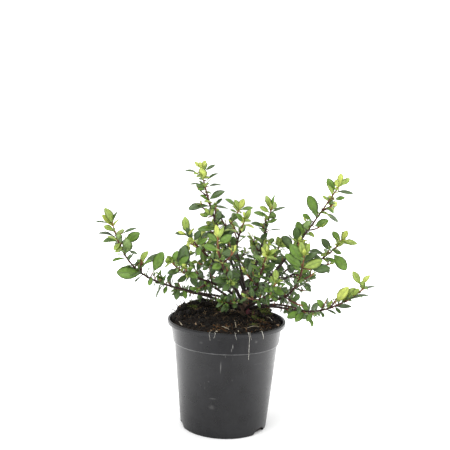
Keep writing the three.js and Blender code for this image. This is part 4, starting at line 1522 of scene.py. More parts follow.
def limb_finish():
    material, tree, shader = principled("limb_bark", (0.12, 0.06, 0.04), 0.62, 0.3)
    ripe = add_node(tree, "ShaderNodeAttribute", attribute_name="ripeness")
    ramp = add_node(tree, "ShaderNodeValToRGB", Fac=ripe.outputs["Fac"])
    for k, (place, color) in enumerate(BARK_RAMP):
        stop = ramp.color_ramp.elements[k] if k < 2 else ramp.color_ramp.elements.new(place)
        stop.position, stop.color = place, (*color, 1)
    bark = ramp.outputs["Color"]
    pale = mix_colors(tree, 0.8, bark, (1.7, 1.5, 1.35), "MULTIPLY")
    patches = mottled(tree, bark, pale, 420.0, 3.5, 0.5)
    coat(tree, shader, patches["Color"], 1800.0, 0.5)
    return material


def trunk_finish():
    material, tree, shader = principled("old_bark", (0.07, 0.045, 0.032), 0.85, 0.25)
    patches = mottled(tree, (0.038, 0.024, 0.017), (0.15, 0.10, 0.072), 260.0, 3.2)
    coat(tree, shader, patches["Color"], 900.0, 0.9, patches["Mask"])
    return material


LIMB_BARK = limb_finish()
OLD_BARK = trunk_finish()
print("bark finishes:", LIMB_BARK.name, OLD_BARK.name)

# %% [markdown]
# ## Limbs that follow their curves
#
# A limb starts as a bare line with a thickness at each point. The node tree turns the lines into
# curves, sweeps a ring along them, and roughens the skin with noise. Where a leaf joins, the shoot is
# a little swollen, as the joints of a real one are. The limbs here taper less than the model's: they
# are a little more slender at the foot, and stouter at the tip.

# %% The tree that clothes a line with bark


def limb_tree():
    tree, given, result = growing_tree(
        "clothe_limbs", ("Sides", "Int"), ("Relief", "Float"), ("Per metre", "Float"), ("Finish", "Material")
    )
    lines = add_node(tree, "GeometryNodeMeshToCurve", Mesh=given["Geometry"])
    thickness = named_field(tree, "thickness", "FLOAT")
    ring = add_node(tree, "GeometryNodeCurvePrimitiveCircle", Resolution=given["Sides"], Radius=1)
    profile = ring.outputs[0]
    sweep = add_node(tree, "GeometryNodeCurveToMesh", Profile_Curve=profile, Scale=thickness, Fill_Caps=True)
    place = tree.nodes.new("GeometryNodeInputPosition").outputs[0]
    centred = math_node(tree, "SUBTRACT", noise_node(tree, place, given["Per metre"], 3.0), 0.5)
    by_thickness = times(tree, centred, thickness)
    height = times(tree, by_thickness, given["Relief"])
    outward = add_node(tree, "ShaderNodeVectorMath", operation="SCALE", Scale=height)
    tree.links.new(tree.nodes.new("GeometryNodeInputNormal").outputs[0], outward.inputs[0])
    push = add_node(tree, "GeometryNodeSetPosition", Offset=outward.outputs[0])
    realize = tree.nodes.new("GeometryNodeRealizeInstances")
    paint = painting_node(tree, given["Finish"])
    chain(tree, result, lines, sweep, push, realize, paint)
    return tree


LIMB_TREE = limb_tree()
LIMB_STEP = 1.3
LIMB_SLENDER = 0.68
LIMB_EXTRA = 0.46
KNOT_LENGTH = 0.9
KNOT_SWELL = 0.28
STEM_DEPTH = 3.0


def limb_row(curve, start, end, radius_at, ripe, knots=(), buried=0):
    """The points, thicknesses and ripeness along part of a curve, in metres"""
    count = max(3, math.ceil(curve.length * (end - start) / LIMB_STEP))
    shares = np.linspace(start, end, count + 1)
    points = curve.at(curve.raw(shares))
    radii = LIMB_SLENDER * np.array([radius_at(share) for share in shares]) + LIMB_EXTRA
    for knot in knots:
        away = (shares - knot) * curve.length / KNOT_LENGTH
        radii = radii * (1 + KNOT_SWELL * np.exp(-away * away))
    ripeness = np.linspace(*ripe, count + 1)
    if buried:
        foot = points[0] - curve.along(start) * buried
        points = np.vstack([foot, points])
        radii = np.concatenate([radii[:1], radii])
        ripeness = np.concatenate([ripeness[:1], ripeness])
    return points * MM, radii * MM, ripeness


def skeleton(name, rows):
    edges, first = [], 0
    for row in rows:
        edges += [(first + k, first + k + 1) for k in range(len(row[0]) - 1)]
        first += len(row[0])
    bones = mesh_object(name, np.concatenate([row[0] for row in rows]), edges=edges)
    for k, word in ((1, "thickness"), (2, "ripeness")):
        values = np.concatenate([row[k] for row in rows])
        bones.data.attributes.new(word, "FLOAT", "POINT").data.foreach_set("value", values)
    return bones


def clothed(name, rows, sides, relief, per_metre, finish):
    values = {"Sides": sides, "Relief": relief, "Per metre": per_metre, "Finish": finish}
    piece = baked(skeleton(name, rows), LIMB_TREE, values, ("thickness",))
    piece.data.shade_smooth()
    return piece


# %% Boughs, shoots, side twigs and spurs
BOUGH_KNOTS = np.arange(0.2, 1, 0.13)
TWIG_KNOTS = (0.3, 0.55, 0.8)
TWIG_RIPE, SPUR_RIPE = 0.6, 0.78


def bough_rows():
    rows = []
    for mass in masses:
        bare = mass["shoot"]["bare"]
        knots = BOUGH_KNOTS * bare
        rows.append(limb_row(mass["curve"], 0, bare, limb_radius, (0, bare), knots, STEM_DEPTH))
    return rows


def shoot_rows():
    rows = []
    for mass in masses:
        bare = mass["shoot"]["bare"]
        count = leaf_count(mass, LEAF_SPACING)
        knots = [lerp(mass["from"], 1, (k + 0.5) / count) for k in range(count)]
        rows.append(limb_row(mass["curve"], bare - 0.01, 1, limb_radius, (bare, 1), knots))
        for twig in mass["twigs"] + mass["fine_twigs"]:
            rows.append(limb_row(twig["curve"], 0, 1, twig["radius"], (TWIG_RIPE, 1), TWIG_KNOTS))
    return rows


def spur_rows():
    spurs = [spur for mass in masses for spur in mass["spurs"]]
    return [limb_row(spur["curve"], 0, 1, spur["radius"], (SPUR_RIPE, 1)) for spur in spurs]


names = [mass["shoot"]["name"] for mass in masses]
foliage_nodes = ["foliage_" + name for name in names]
boughs = clothed("boughs", bough_rows(), 10, 0.55, 700.0, LIMB_BARK)
hand_over(boughs, "bough", *("bough_" + name for name in names))
shoots = clothed("shoots_and_twigs", shoot_rows(), 7, 0.4, 900.0, LIMB_BARK)
hand_over(shoots, "foliage", *foliage_nodes)
spurs = clothed("leaf_spurs", spur_rows(), 5, 0.0, 900.0, LIMB_BARK)
hand_over(spurs, "foliage", *foliage_nodes)

# %% [markdown]
# ## The woody stem
#
# The stem is short, knotty and twisted. Its mesh is rings of points round a leaning axis: the radius of
# the model, with ridges that turn as they climb and fractal noise on top, closed by a low dome. Bumps
# in the finish alone would leave its outline smooth, and the outline is what shows between the boughs.

# %% Woody stem
STEM_RINGS = 44
STEM_AROUND = 72
STEM_BURIED = 4.0
STEM_DOME = 1.6
STEM_DOME_RINGS = [0.5 * math.pi * share for share in (0.25, 0.5, 0.75)]


def fractal(x, y, z, octaves=4):
    return noise.fractal(Vector((x, y, z)), 1.0, 2.1, octaves)


def stem_skin(rise, angle):
    """The stem's radius with its ridges and knots, in millimetres"""
    low = max(rise, 0)
    twist = angle + 0.06 * rise
    flare = math.exp(-0.14 * low)
    ridges = 0.10 * math.sin(3 * twist + 0.6) + 0.07 * math.sin(5 * twist) + 0.04 * math.sin(11 * twist)
    x, y = math.cos(angle), math.sin(angle)
    knots = 0.10 * fractal(1.4 * x, 1.4 * y, 0.16 * rise) + 0.035 * fractal(6 * x, 6 * y, 0.5 * rise + 9)
    return stem_radius(low) * (0.97 + ridges * (0.6 + 0.9 * flare) + knots)


def circle(around):
    """Unit vectors that turn from +X to +Y, with their angles"""
    angles = [math.tau * j / around for j in range(around)]
    return [(angle, np.array([math.cos(angle), math.sin(angle), 0])) for angle in angles]


def tube_faces(rings, around, first, bottom, top):
    """Quads of a tube whose rings run up, facing outwards, and fans that close it at its two end points"""
    faces = []
    for i in range(rings - 1):
        for j in range(around):
            a, b = first + i * around + j, first + i * around + (j + 1) % around
            faces.append((a, b, b + around, a + around))
    last = first + (rings - 1) * around
    for j in range(around):
        after = (j + 1) % around
        faces.append((last + j, last + after, top))
        faces.append((first + after, first + j, bottom))
    return faces


def make_piece(name, points, faces, finish):
    piece = mesh_object(name, [[MM * value for value in point] for point in points], faces)
    piece.data.materials.append(finish)
    piece.data.shade_smooth()
    scene.collection.objects.link(piece)
    return piece


def make_stem():
    rises = [lerp(-STEM_BURIED, STEM_HEIGHT, i / (STEM_RINGS - 1)) for i in range(STEM_RINGS)]
    rings = [(stem_axis(rise), rise, 1) for rise in rises]
    crown = stem_axis(STEM_HEIGHT)
    for share in STEM_DOME_RINGS:
        rings.append((crown + UP * STEM_DOME * math.sin(share), STEM_HEIGHT, math.cos(share)))
    points = []
    for axis, rise, narrowing in rings:
        points += [axis + stem_skin(rise, angle) * narrowing * out for angle, out in circle(STEM_AROUND)]
    points += [crown + UP * STEM_DOME, stem_axis(-STEM_BURIED)]
    faces = tube_faces(len(rings), STEM_AROUND, 0, len(points) - 1, len(points) - 2)
    return make_piece("woody_stem_bark", points, faces, OLD_BARK)


hand_over(make_stem(), "bark", "woody_stem")

# %% [markdown]
# ## Compost
#
# The compost is a closed filling whose top is a polar grid. Sculpting would shape it too, but here two
# scales of fractal noise make its lumps, because a formula can be asked for the height anywhere, and
# the crumbs and fibres need that. It is heaped higher where the photo shows it against the rim.

# %% Compost
SOIL_AROUND = 180
SOIL_RINGS = 60
SOIL_TOP_RADIUS = 61.4
SOIL_SHOULDER = 112
SOIL_EDGE_LEAST = 116.4
# Where a heap is, how high and how wide
EXTRA_HEAPS = ((-34, 42, 4.2, 15), (42, 36, 3.2, 16), (-55, 12, 4.6, 7), (-52, 28, 4.2, 7), (-40, 8, 2.0, 12))
COLLAR_FOOT_RADIUS = 59.4
COLLAR_FOOT_HEIGHT = 97.2
LEDGE = 1.7
FOOT_RADIUS = 48.5
FOOT_BEVEL = 2
FLOOR = 2
RIM_DEPTH = 5


def compost_finish():
    material, tree, shader = principled("damp_compost", (0.03, 0.02, 0.014), 0.9, 0.25)
    coarse = mottled(tree, (0.0015, 0.0012, 0.0010), (0.008, 0.0055, 0.0034), 150.0, 3.0)
    fine = mottled(tree, coarse["Color"], (0.07, 0.038, 0.020), 1100.0, 6.0, 0.18)
    coat(tree, shader, fine["Color"], 1400.0, 1.0)
    return material


def compost_height(x, y):
    height = soil_height(x, y)
    for hx, hy, high, spread in EXTRA_HEAPS:
        height += high * math.exp(-((x - hx) ** 2 + (y - hy) ** 2) / (2 * spread * spread))
    lumps = 2.6 * fractal(0.07 * x, 0.07 * y, 3.0) + 1.7 * fractal(0.22 * x, 0.22 * y, 7.0, 5)
    return max(height + lumps, SOIL_EDGE_LEAST)


def wall_radius(height):
    """Outer radius of the pot's wall at a height"""
    heights = [FOOT_BEVEL, COLLAR_FOOT_HEIGHT - LEDGE, COLLAR_FOOT_HEIGHT, POT_HEIGHT - RIM_DEPTH]
    radii = [FOOT_RADIUS, COLLAR_FOOT_RADIUS - LEDGE, COLLAR_FOOT_RADIUS, COLLAR_TOP_RADIUS]
    return float(np.interp(height, heights, radii))


def make_compost():
    sides = [FLOOR + GAP, COLLAR_FOOT_HEIGHT - LEDGE, COLLAR_FOOT_HEIGHT, SOIL_SHOULDER]
    rings = [(wall_radius(height) - WALL - GAP, height) for height in sides]
    rings += [(SOIL_TOP_RADIUS * (1 - i / SOIL_RINGS) ** 0.8, None) for i in range(SOIL_RINGS)]
    points = []
    for radius, height in rings:
        for _, out in circle(SOIL_AROUND):
            x, y = radius * out[0], radius * out[1]
            points.append((x, y, compost_height(x, y) if height is None else height))
    points += [(0, 0, compost_height(0, 0)), (0, 0, FLOOR + GAP)]
    faces = tube_faces(len(rings), SOIL_AROUND, 0, len(points) - 1, len(points) - 2)
    return make_piece("compost", points, faces, compost_finish())


compost = make_compost()
hand_over(compost, "soil", "soil")

# %% [markdown]
# ## Crumbs, chips, moss and fibres
#
# Potting compost is peat crumbs, bits of bark and, after a season, moss. One scattering tree serves for
# all that lies loose. It takes a patch of ground and a box of shapes, and deals the shapes out at random
# turns and sizes, most of them small, with a fixed seed.

# %% The scattering tree
MANY_SMALL = 2.2


def random_field(tree, low, high, seed, vector=False):
    node = add_node(tree, "FunctionNodeRandomValue", data_type="FLOAT_VECTOR" if vector else "FLOAT")
    first, out = (0, 0) if vector else (2, 1)
    fill(tree, node.inputs[first], low)
    fill(tree, node.inputs[first + 1], high)
    node.inputs["Seed"].default_value = seed
    return node.outputs[out]


def scatter_tree():
    tree, given, result = growing_tree(
        "scatter_crumbs",
        ("Shapes", "Collection"),
        *((word, "Float") for word in ("Per square metre", "Smallest", "Largest", "Tumble")),
        ("Seed", "Int"),
        ("Finish", "Material"),
    )
    ground, density, seed = given["Geometry"], given["Per square metre"], given["Seed"]
    sow = add_node(tree, "GeometryNodeDistributePointsOnFaces", Mesh=ground, Density=density, Seed=seed)
    lean = given["Tumble"]
    tumble = add_node(tree, "ShaderNodeCombineXYZ", X=lean, Y=lean, Z=math.pi)
    turn = add_node(tree, "ShaderNodeVectorMath", operation="MULTIPLY")
    fill(tree, turn.inputs[0], random_field(tree, (-1, -1, -1), (1, 1, 1), 3, True))
    fill(tree, turn.inputs[1], tumble.outputs[0])
    share = math_node(tree, "POWER", random_field(tree, 0.0, 1.0, 5), MANY_SMALL)
    spread = math_node(tree, "SUBTRACT", given["Largest"], given["Smallest"])
    size = math_node(tree, "ADD", times(tree, share, spread), given["Smallest"])
    deal = dealing_node(tree, sow.outputs[0], given["Shapes"], Rotation=turn.outputs[0], Scale=size)
    paint = painting_node(tree, given["Finish"])
    chain(tree, result, deal, tree.nodes.new("GeometryNodeRealizeInstances"), paint)
    return tree


# %% Crumbs, chips and moss sprigs
ICOSAHEDRON_NEAR = 1.2


def icosahedron():
    golden = (1 + math.sqrt(5)) / 2
    points = [(s, t * golden, 0) for t in (1, -1) for s in (-1, 1)]
    points += [(0, s, t * golden) for t in (1, -1) for s in (-1, 1)]
    points += [(t * golden, 0, s) for t in (1, -1) for s in (-1, 1)]
    points = np.array(points) / math.hypot(1, golden)
    apart = np.linalg.norm(points[:, None] - points, axis=2)
    faces = []
    for a, b, c in itertools.combinations(range(12), 3):
        if max(apart[a, b], apart[b, c], apart[a, c]) < ICOSAHEDRON_NEAR:
            out = np.dot(np.cross(points[b] - points[a], points[c] - points[a]), points[a])
            faces.append((a, b, c) if out > 0 else (a, c, b))
    return points, faces


def make_crumb_box(name, count, squash, seed):
    draw = seeded(seed)
    points, faces = icosahedron()
    box = bpy.data.collections.new(name)
    for k in range(count):
        stretch = np.array([lerp(0.6, 1.0, draw()), lerp(0.5, 0.9, draw()), squash * lerp(0.6, 1, draw())])
        dents = np.array([[lerp(0.72, 1.15, draw())] for _ in points])
        crumb = mesh_object(f"{name}_{k}", points * dents * stretch, faces)
        crumb.data.shade_smooth()
        box.objects.link(crumb)
    return box


def make_moss_box():
    """Star-shaped sprigs: slim pyramids that lean out from one foot"""
    draw = seeded(31)
    box = bpy.data.collections.new("moss_sprigs")
    for k in range(3):
        points, faces = [], []
        for blade in range(7):
            heading = blade * LEAF_TURN + draw()
            lean = lerp(0.2, 1.0, draw())
            flat = np.array([math.cos(heading), math.sin(heading), 0]) * math.sin(lean)
            tip = flat + UP * math.cos(lean)
            side = unit(np.cross(tip, UP + 0.01))
            over = np.cross(tip, side)
            first = len(points)
            for j in range(3):
                points.append(0.11 * spoke(side, over, math.tau * j / 3) - 0.1 * tip)
            points.append(tip * lerp(0.7, 1.1, draw()))
            turned = np.dot(np.cross(side, over), tip) < 0
            for face in ((0, 1, 3), (1, 2, 3), (2, 0, 3), (0, 2, 1)):
                face = tuple(first + corner for corner in face)
                faces.append(face[::-1] if turned else face)
        box.objects.link(mesh_object(f"moss_sprig_{k}", points, faces))
    return box


SCATTER_TREE = scatter_tree()
CRUMB_BOX = make_crumb_box("crumb", 6, 0.8, 12)
CHIP_BOX = make_crumb_box("chip", 4, 0.35, 13)
MOSS_BOX = make_moss_box()

# %% What lies on the compost
PATCH_SINK = 0.1
PATCH_LOWEST = 115
PATCH_MARGIN = 1.5
# Where moss grows, and how far it reaches
MOSS_PATCHES = (
    (-44, 39, 13), (-40, 10, 6), (-4, 6, 6), (30, -30, 5), (-18, 44, 9), (42, 22, 9), (34, -6, 7),
)


def ground_patch(name, wanted):
    """A copy of the compost's upper faces whose middle is wanted, kept a little way below the surface"""
    points = [tuple(vertex.co - Vector((0, 0, PATCH_SINK * MM))) for vertex in compost.data.vertices]
    faces = []
    for face in compost.data.polygons:
        x, y, z = face.center / MM
        if z > PATCH_LOWEST and math.hypot(x, y) < SOIL_TOP_RADIUS - PATCH_MARGIN and wanted(x, y):
            faces.append(tuple(face.vertices))
    return mesh_object(name, points, faces)


def anywhere(x, y):
    return True


def far_from_stem(x, y):
    return math.hypot(x - STEM_FOOT[0], y - STEM_FOOT[1]) > SEAT_RADIUS


def mossy(x, y):
    ragged = 1 + 0.35 * fractal(0.2 * x, 0.2 * y, 1)
    return any(math.hypot(x - px, y - py) < size * ragged for px, py, size in MOSS_PATCHES)


def bare_soil(x, y):
    return far_from_stem(x, y) and not mossy(x, y)


def rusty(x, y):
    front = math.hypot((x - 6) / 26, (y + 46) / 13)
    right = math.hypot((x - 40) / 15, (y + 22) / 17)
    return min(front, right) < 1 + 0.4 * fractal(0.15 * x, 0.15 * y, 5)


def plain_finish(name, color, cloud, per_metre, roughness):
    material, tree, shader = principled(name, color, roughness, 0.3)
    coat(tree, shader, mottled(tree, color, cloud, per_metre, 4.0)["Color"], 1500.0, 0.6)
    return material


CRUMB_DARK = plain_finish("peat_crumb", (0.0016, 0.0012, 0.0010), (0.0095, 0.0065, 0.0042), 160.0, 0.9)
CRUMB_RUST = plain_finish("rusty_crumb", (0.020, 0.009, 0.003), (0.135, 0.057, 0.016), 260.0, 0.9)
CRUMB_PALE = plain_finish("bark_chip", (0.20, 0.115, 0.060), (0.42, 0.30, 0.19), 240.0, 0.8)
MOSS_GREEN = plain_finish("moss_green", (0.060, 0.092, 0.016), (0.190, 0.240, 0.050), 200.0, 0.85)
ROOT_PALE = plain_finish("pale_root", (0.34, 0.32, 0.28), (0.62, 0.60, 0.55), 300.0, 0.7)
STRAW_PALE = plain_finish("pale_straw", (0.30, 0.24, 0.16), (0.66, 0.60, 0.48), 170.0, 0.7)
FIBRE_TAN = plain_finish("tan_fibre", (0.040, 0.024, 0.012), (0.24, 0.165, 0.090), 130.0, 0.8)
print(sum(mossy(*(face.center.xy / MM)) for face in compost.data.polygons), "faces of the compost are mossy")

# %% Each kind of crumb, dealt out
SCATTER_SEED = 4
SCATTER_WORDS = ("Shapes", "Per square metre", "Smallest", "Largest", "Tumble", "Finish", "Seed")
# Piece, where it lies, its shapes, how many per square metre, smallest and largest in millimetres,
# how far it tumbles, and its finish
SCATTERED = (
    ("soil_crumbs", bare_soil, CRUMB_BOX, 150000, 0.6, 3.4, 3.1, CRUMB_DARK),
    ("soil_clods", bare_soil, CRUMB_BOX, 9000, 2.5, 7.5, 3.1, CRUMB_DARK),
    ("bark_mulch", bare_soil, CHIP_BOX, 3500, 1.5, 6.0, 1.2, CRUMB_RUST),
    ("rusty_crumbs", rusty, CRUMB_BOX, 160000, 0.5, 2.4, 3.1, CRUMB_RUST),
    ("bark_chips", anywhere, CHIP_BOX, 3000, 1.0, 4.2, 0.7, CRUMB_PALE),
    ("moss_tufts", mossy, MOSS_BOX, 230000, 1.0, 4.4, 0.5, MOSS_GREEN),
)
for name, wanted, shapes, density, smallest, largest, tumble, finish in SCATTERED:
    row = (shapes, density, smallest * MM, largest * MM, tumble, finish, SCATTER_SEED)
    values = dict(zip(SCATTER_WORDS, row))
    hand_over(baked(ground_patch(name, wanted), SCATTER_TREE, values), "soil", "soil")

# %% [markdown]
# ## Fibres, root threads and straws
#
# Fibres wander over the compost, pale root threads hang over the rim, and stiff straws stick out of
# it. All start as bare lines and are clothed by the same node tree as the limbs. The fibres are drawn
# by chance, but the threads and straws can be told apart in the photo, so their places are given.

# %% Fibres on the compost
FIBRES = 190
FIBRE_POINTS = 12
FIBRE_SEED = 55
FIBRE_CURL = 1.3
FIBRE_REACH = 56
LINE_NOISE = 900.0


def wander(draw, start, heading, length):
    """A thin thread that turns as it goes and follows the ground"""
    points = [start]
    for _ in range(FIBRE_POINTS - 1):
        heading += FIBRE_CURL * (draw() - 0.5)
        x, y = points[-1][0] + math.cos(heading) * length, points[-1][1] + math.sin(heading) * length
        if math.hypot(x, y) > SOIL_TOP_RADIUS - 1:
            heading += math.pi * 0.6
            x, y = points[-1][:2]
        points.append((x, y, compost_height(x, y) + 0.2 + 1.3 * draw()))
    return np.array(points)


def fibre_rows():
    draw = seeded(FIBRE_SEED)
    rows = []
    for _ in range(FIBRES):
        radius, angle = FIBRE_REACH * math.sqrt(draw()), math.tau * draw()
        x, y = radius * math.cos(angle), radius * math.sin(angle)
        start = (x, y, compost_height(x, y))
        points = wander(draw, start, math.tau * draw(), lerp(0.6, 2.6, draw() ** 2))
        thick = lerp(0.12, 0.5, draw() ** 3) * np.linspace(1, 0.5, FIBRE_POINTS)
        rows.append((points * MM, thick * MM, np.zeros(FIBRE_POINTS)))
    return rows


def lay(name, rows, sides, relief, finish):
    hand_over(clothed(name, rows, sides, relief, LINE_NOISE, finish), "soil", "soil")


lay("soil_fibres", fibre_rows(), 5, 0.3, FIBRE_TAN)

# %% Straws, spikes and a painted straw shadow
STRAW_POINTS = 9
# Straws that can be told apart in the photo: two ends, thickness and bend, in millimetres
STRAWS = (
    ((-54, -16, 120.8), (-47.5, -40, 122.4), 0.75, 0.5), ((-17, 14, 131), (-14, 6, 127.5), 1.1, 0.4),
    ((4, 6, 129.5), (10, 6.5, 129), 0.9, 0.6), ((-1, 12, 130.5), (2, 9, 129), 0.8, 0.4),
    ((7, -5, 125), (10.5, -41, 121.6), 0.5, 2.0), ((-42, 7, 123.5), (-35, 9, 125), 0.4, 1.5),
    ((-46, -10, 122.2), (-42, 1, 123.6), 0.5, 0.8), ((45, 5, 123.4), (50.5, -8, 122.4), 0.5, 1.2),
    ((-11, -58.5, 121.4), (-9.4, -62, 122.4), 0.7, 0.3), ((12, -49, 121.2), (13, -57, 121.8), 0.55, 0.3),
    ((22, -40, 121.4), (35, -34, 121.8), 0.4, 1.5), ((-8, -38, 121.6), (3, -47, 121.2), 0.35, 1.2),
)


def straw_row(start, end, thickness, bend):
    """A stiff straw between two points, bowed upwards a little"""
    shares = np.linspace(0, 1, STRAW_POINTS)
    points = lerp(np.array(start), np.array(end), shares[:, None])
    points[:, 2] += bend * np.sin(math.pi * shares)
    thick = thickness * (0.55 + 0.45 * np.sin(math.pi * shares))
    return points * MM, thick * MM, np.zeros(STRAW_POINTS)


lay("pale_straws", [straw_row(*straw) for straw in STRAWS], 5, 0.6, STRAW_PALE)
# Dark peat fibres that stand up out of the heap behind the left rim. One of them lies flat beside the first
# pale straw, where that straw's shadow falls: a painted shadow.
SPIKES_AND_STRAW_SHADOW = (
    ((-52, 20, 123), (-60, 24, 131), 0.55, 0.6), ((-55, 12, 122), (-64, 15, 127), 0.5, 0.5),
    ((-50, 28, 124), (-55, 33, 133), 0.5, -0.6), ((-56, 4, 121), (-63, 2, 126), 0.45, 0.4),
    ((-46, 34, 125), (-52, 40, 132), 0.45, 0.5), ((-54, 16, 123), (-57, 12, 130), 0.4, 0.4),
    # The first fibre on the next line is the painted shadow of the first pale straw.
    ((-57, -8, 120), (-50, -34, 122.6), 0.5, 0.8), ((-40, 40, 126), (-43, 46, 133), 0.4, 0.3),
    ((48, 30, 121), (54, 34, 126), 0.4, 0.3),
)
lay("peat_spikes", [straw_row(*spike) for spike in SPIKES_AND_STRAW_SHADOW], 5, 0.6, CRUMB_DARK)

# %% A withered leaf in two curled halves, right of the stem
WITHERED = plain_finish("withered_leaf", (0.045, 0.006, 0.010), (0.115, 0.022, 0.030), 300.0, 0.6)
# Place, the way the half runs, the way its upper side faces, length, and which leaf shape it is
WITHERED_LEAVES = (
    ((24.5, -2, 122.5), (-1.5, 3.5, 13), (0.6, -1, 0.2), 13.5, 1),
    ((27.5, -4, 122), (2, 5, 8), (-0.8, -1, 0.4), 10.5, 4),
)


def make_withered():
    points, faces = [], []
    for foot, along, face, length, kind in WITHERED_LEAVES:
        along = unit(np.array(along, float))
        face = square_to(along, face)
        axes = length * np.array([along, np.cross(face, along), face])
        shape = LEAF_SHAPES.objects[kind].data
        first = len(points)
        points += [foot + np.array(vertex.co) @ axes for vertex in shape.vertices]
        faces += [tuple(first + corner for corner in polygon.vertices) for polygon in shape.polygons]
    return make_piece("withered_leaf_halves", points, faces, WITHERED)


hand_over(make_withered(), "soil", "soil")

# %% Root threads over the rim
THREAD_POINTS = 40


def thread_over_rim(angle_from_front, drop, sway, thickness):
    """A root thread that lies on the compost, climbs the rim and hangs down outside it"""
    turn = math.radians(angle_from_front)
    out = np.array([math.sin(turn), -math.cos(turn), 0])
    side = np.array([math.cos(turn), math.sin(turn), 0])
    inner, outer, top = 61, RIM_RADIUS + 0.35, POT_HEIGHT + 0.3
    stations = [(53, 119.8), (inner, top - 2), (63, top), (65.2, top), (outer, top - 1.2)]
    stations += [(outer, top - 5), (outer - 2.2 * min(1, drop / 12), top - 5 - drop)]
    corners = [out * r + UP * z + side * sway * math.sin(1.3 * k) for k, (r, z) in enumerate(stations)]
    corners = np.array(corners)
    at = np.linspace(0, len(corners) - 1, THREAD_POINTS)
    points = np.column_stack([np.interp(at, range(len(corners)), corners[:, k]) for k in range(3)])
    thick = np.linspace(thickness, 0.5 * thickness, THREAD_POINTS)
    return points * MM, thick * MM, np.zeros(THREAD_POINTS)


# Degrees from the front, how far it hangs, how far it sways, and thickness
THREADS = (
    (21.5, 24, 0.9, 0.34), (22.8, 2, 1.1, 0.26), (-15, 4, 0.5, 0.24),
    (-10.5, 0.5, -0.8, 0.22), (9, 1, 0.9, 0.24), (36, 3, 1.2, 0.42),
)
lay("root_threads", [thread_over_rim(*row) for row in THREADS], 6, 0.5, ROOT_PALE)

# %% [markdown]
# ## The pot
#
# The pot is moulded from thin black plastic, with a stepped collar and an out-turned rim. A Screw
# modifier would turn its outline too, but rings written out give one closed shell that three cylinders
# can notch. Every corner is rounded, because only a rounded edge catches light. The finish carries
# what handling left, dust and scratches, and a pale band at the ledge that is a painted highlight.

# %% Pot outline
POT_AROUND = 160
RIM_INNER_RADIUS = 63.8
ROUNDING_STEPS = (0, 0.25, 0.5, 0.75, 1)


def pot_outline():
    """Corners as radius, height and how far each is rounded, from the underside to the floor inside"""
    rim_foot = POT_HEIGHT - RIM_DEPTH
    low = COLLAR_FOOT_HEIGHT - LEDGE
    corners = [(FOOT_RADIUS - 0.1, 0, 1.6), (FOOT_RADIUS + 0.15, 3.0, 0.6)]
    corners += [(wall_radius(low), low, 0.6), (COLLAR_FOOT_RADIUS, COLLAR_FOOT_HEIGHT, 0.7)]
    corners += [(COLLAR_TOP_RADIUS, rim_foot, 0.9), (RIM_RADIUS, rim_foot, 1.1)]
    corners += [(RIM_RADIUS, POT_HEIGHT, 1.4), (RIM_INNER_RADIUS, POT_HEIGHT, 1.0)]
    corners += [(wall_radius(rim_foot) - WALL, rim_foot - WALL, 1.2)]
    corners += [(wall_radius(low) - WALL, low, 0.5), (wall_radius(FLOOR) - WALL, FLOOR, 0.8)]
    outline = [(0, 0)]
    for k, (radius, height, rounding) in enumerate(corners):
        here = np.array([radius, height], float)
        before = np.array((corners[k - 1] if k else (0, 0, 0))[:2], float)
        after = np.array((corners[k + 1] if k + 1 < len(corners) else (0, FLOOR, 0))[:2], float)
        start, end = here + unit(before - here) * rounding, here + unit(after - here) * rounding
        for share in ROUNDING_STEPS:
            blend = start * (1 - share) ** 2 + here * 2 * share * (1 - share) + end * share**2
            outline.append(tuple(blend))
    return outline + [(0, FLOOR)]


# %% Plastic, with what handling left on it and a highlight painted at the ledge
WALL_GLOSS, RIM_GLOSS = 0.34, 0.26
DUST = (0.30, 0.295, 0.285)
# Scratches are noise drawn out along one direction and cut off high: stretch, cut and tone
SCRATCHES = (((40, 40, 900), 0.69, 0.14), ((700, 700, 26), 0.70, 0.20), ((160, 160, 160), 0.72, 0.12))
SCRATCH_STEEP, SCRATCH_SHARE = 9.0, 0.6
# Dusty marks that can be told apart in the photo: middle, half sizes and strength
POT_MARKS = (
    ((-4.6, -56, 82), (0.9, 9, 8), 0.4), ((7.4, -60, 106.2), (0.7, 9, 3.2), 0.8),
    ((6.2, -60, 102.2), (0.6, 9, 2.6), 0.55), ((-13.0, -52, 36), (4.2, 9, 3.4), 0.16),
    ((-17.0, -52, 65), (1.2, 9, 1.2), 0.14), ((-26, -54, 108), (2.6, 9, 1.8), 0.12),
    ((32, -50, 110), (2.0, 12, 1.8), 0.22), ((8, -53, 68), (1.0, 9, 1.4), 0.14),
    ((-12, -51, 46), (5.0, 9, 1.0), 0.2),
)
# The pale band at the ledge is a painted highlight, the rim's lip is dirty and the foot is darker: height,
# reach, tone and strength
POT_BANDS = ((96.9, 0.7, 0.20, 0.7), (121.6, 1.6, 0.006, 0.9), (0.0, 4.0, 0.006, 0.6))


def moved(tree, place, scale, location=(0, 0, 0)):
    return add_node(tree, "ShaderNodeMapping", Vector=place, Scale=scale, Location=location).outputs[0]


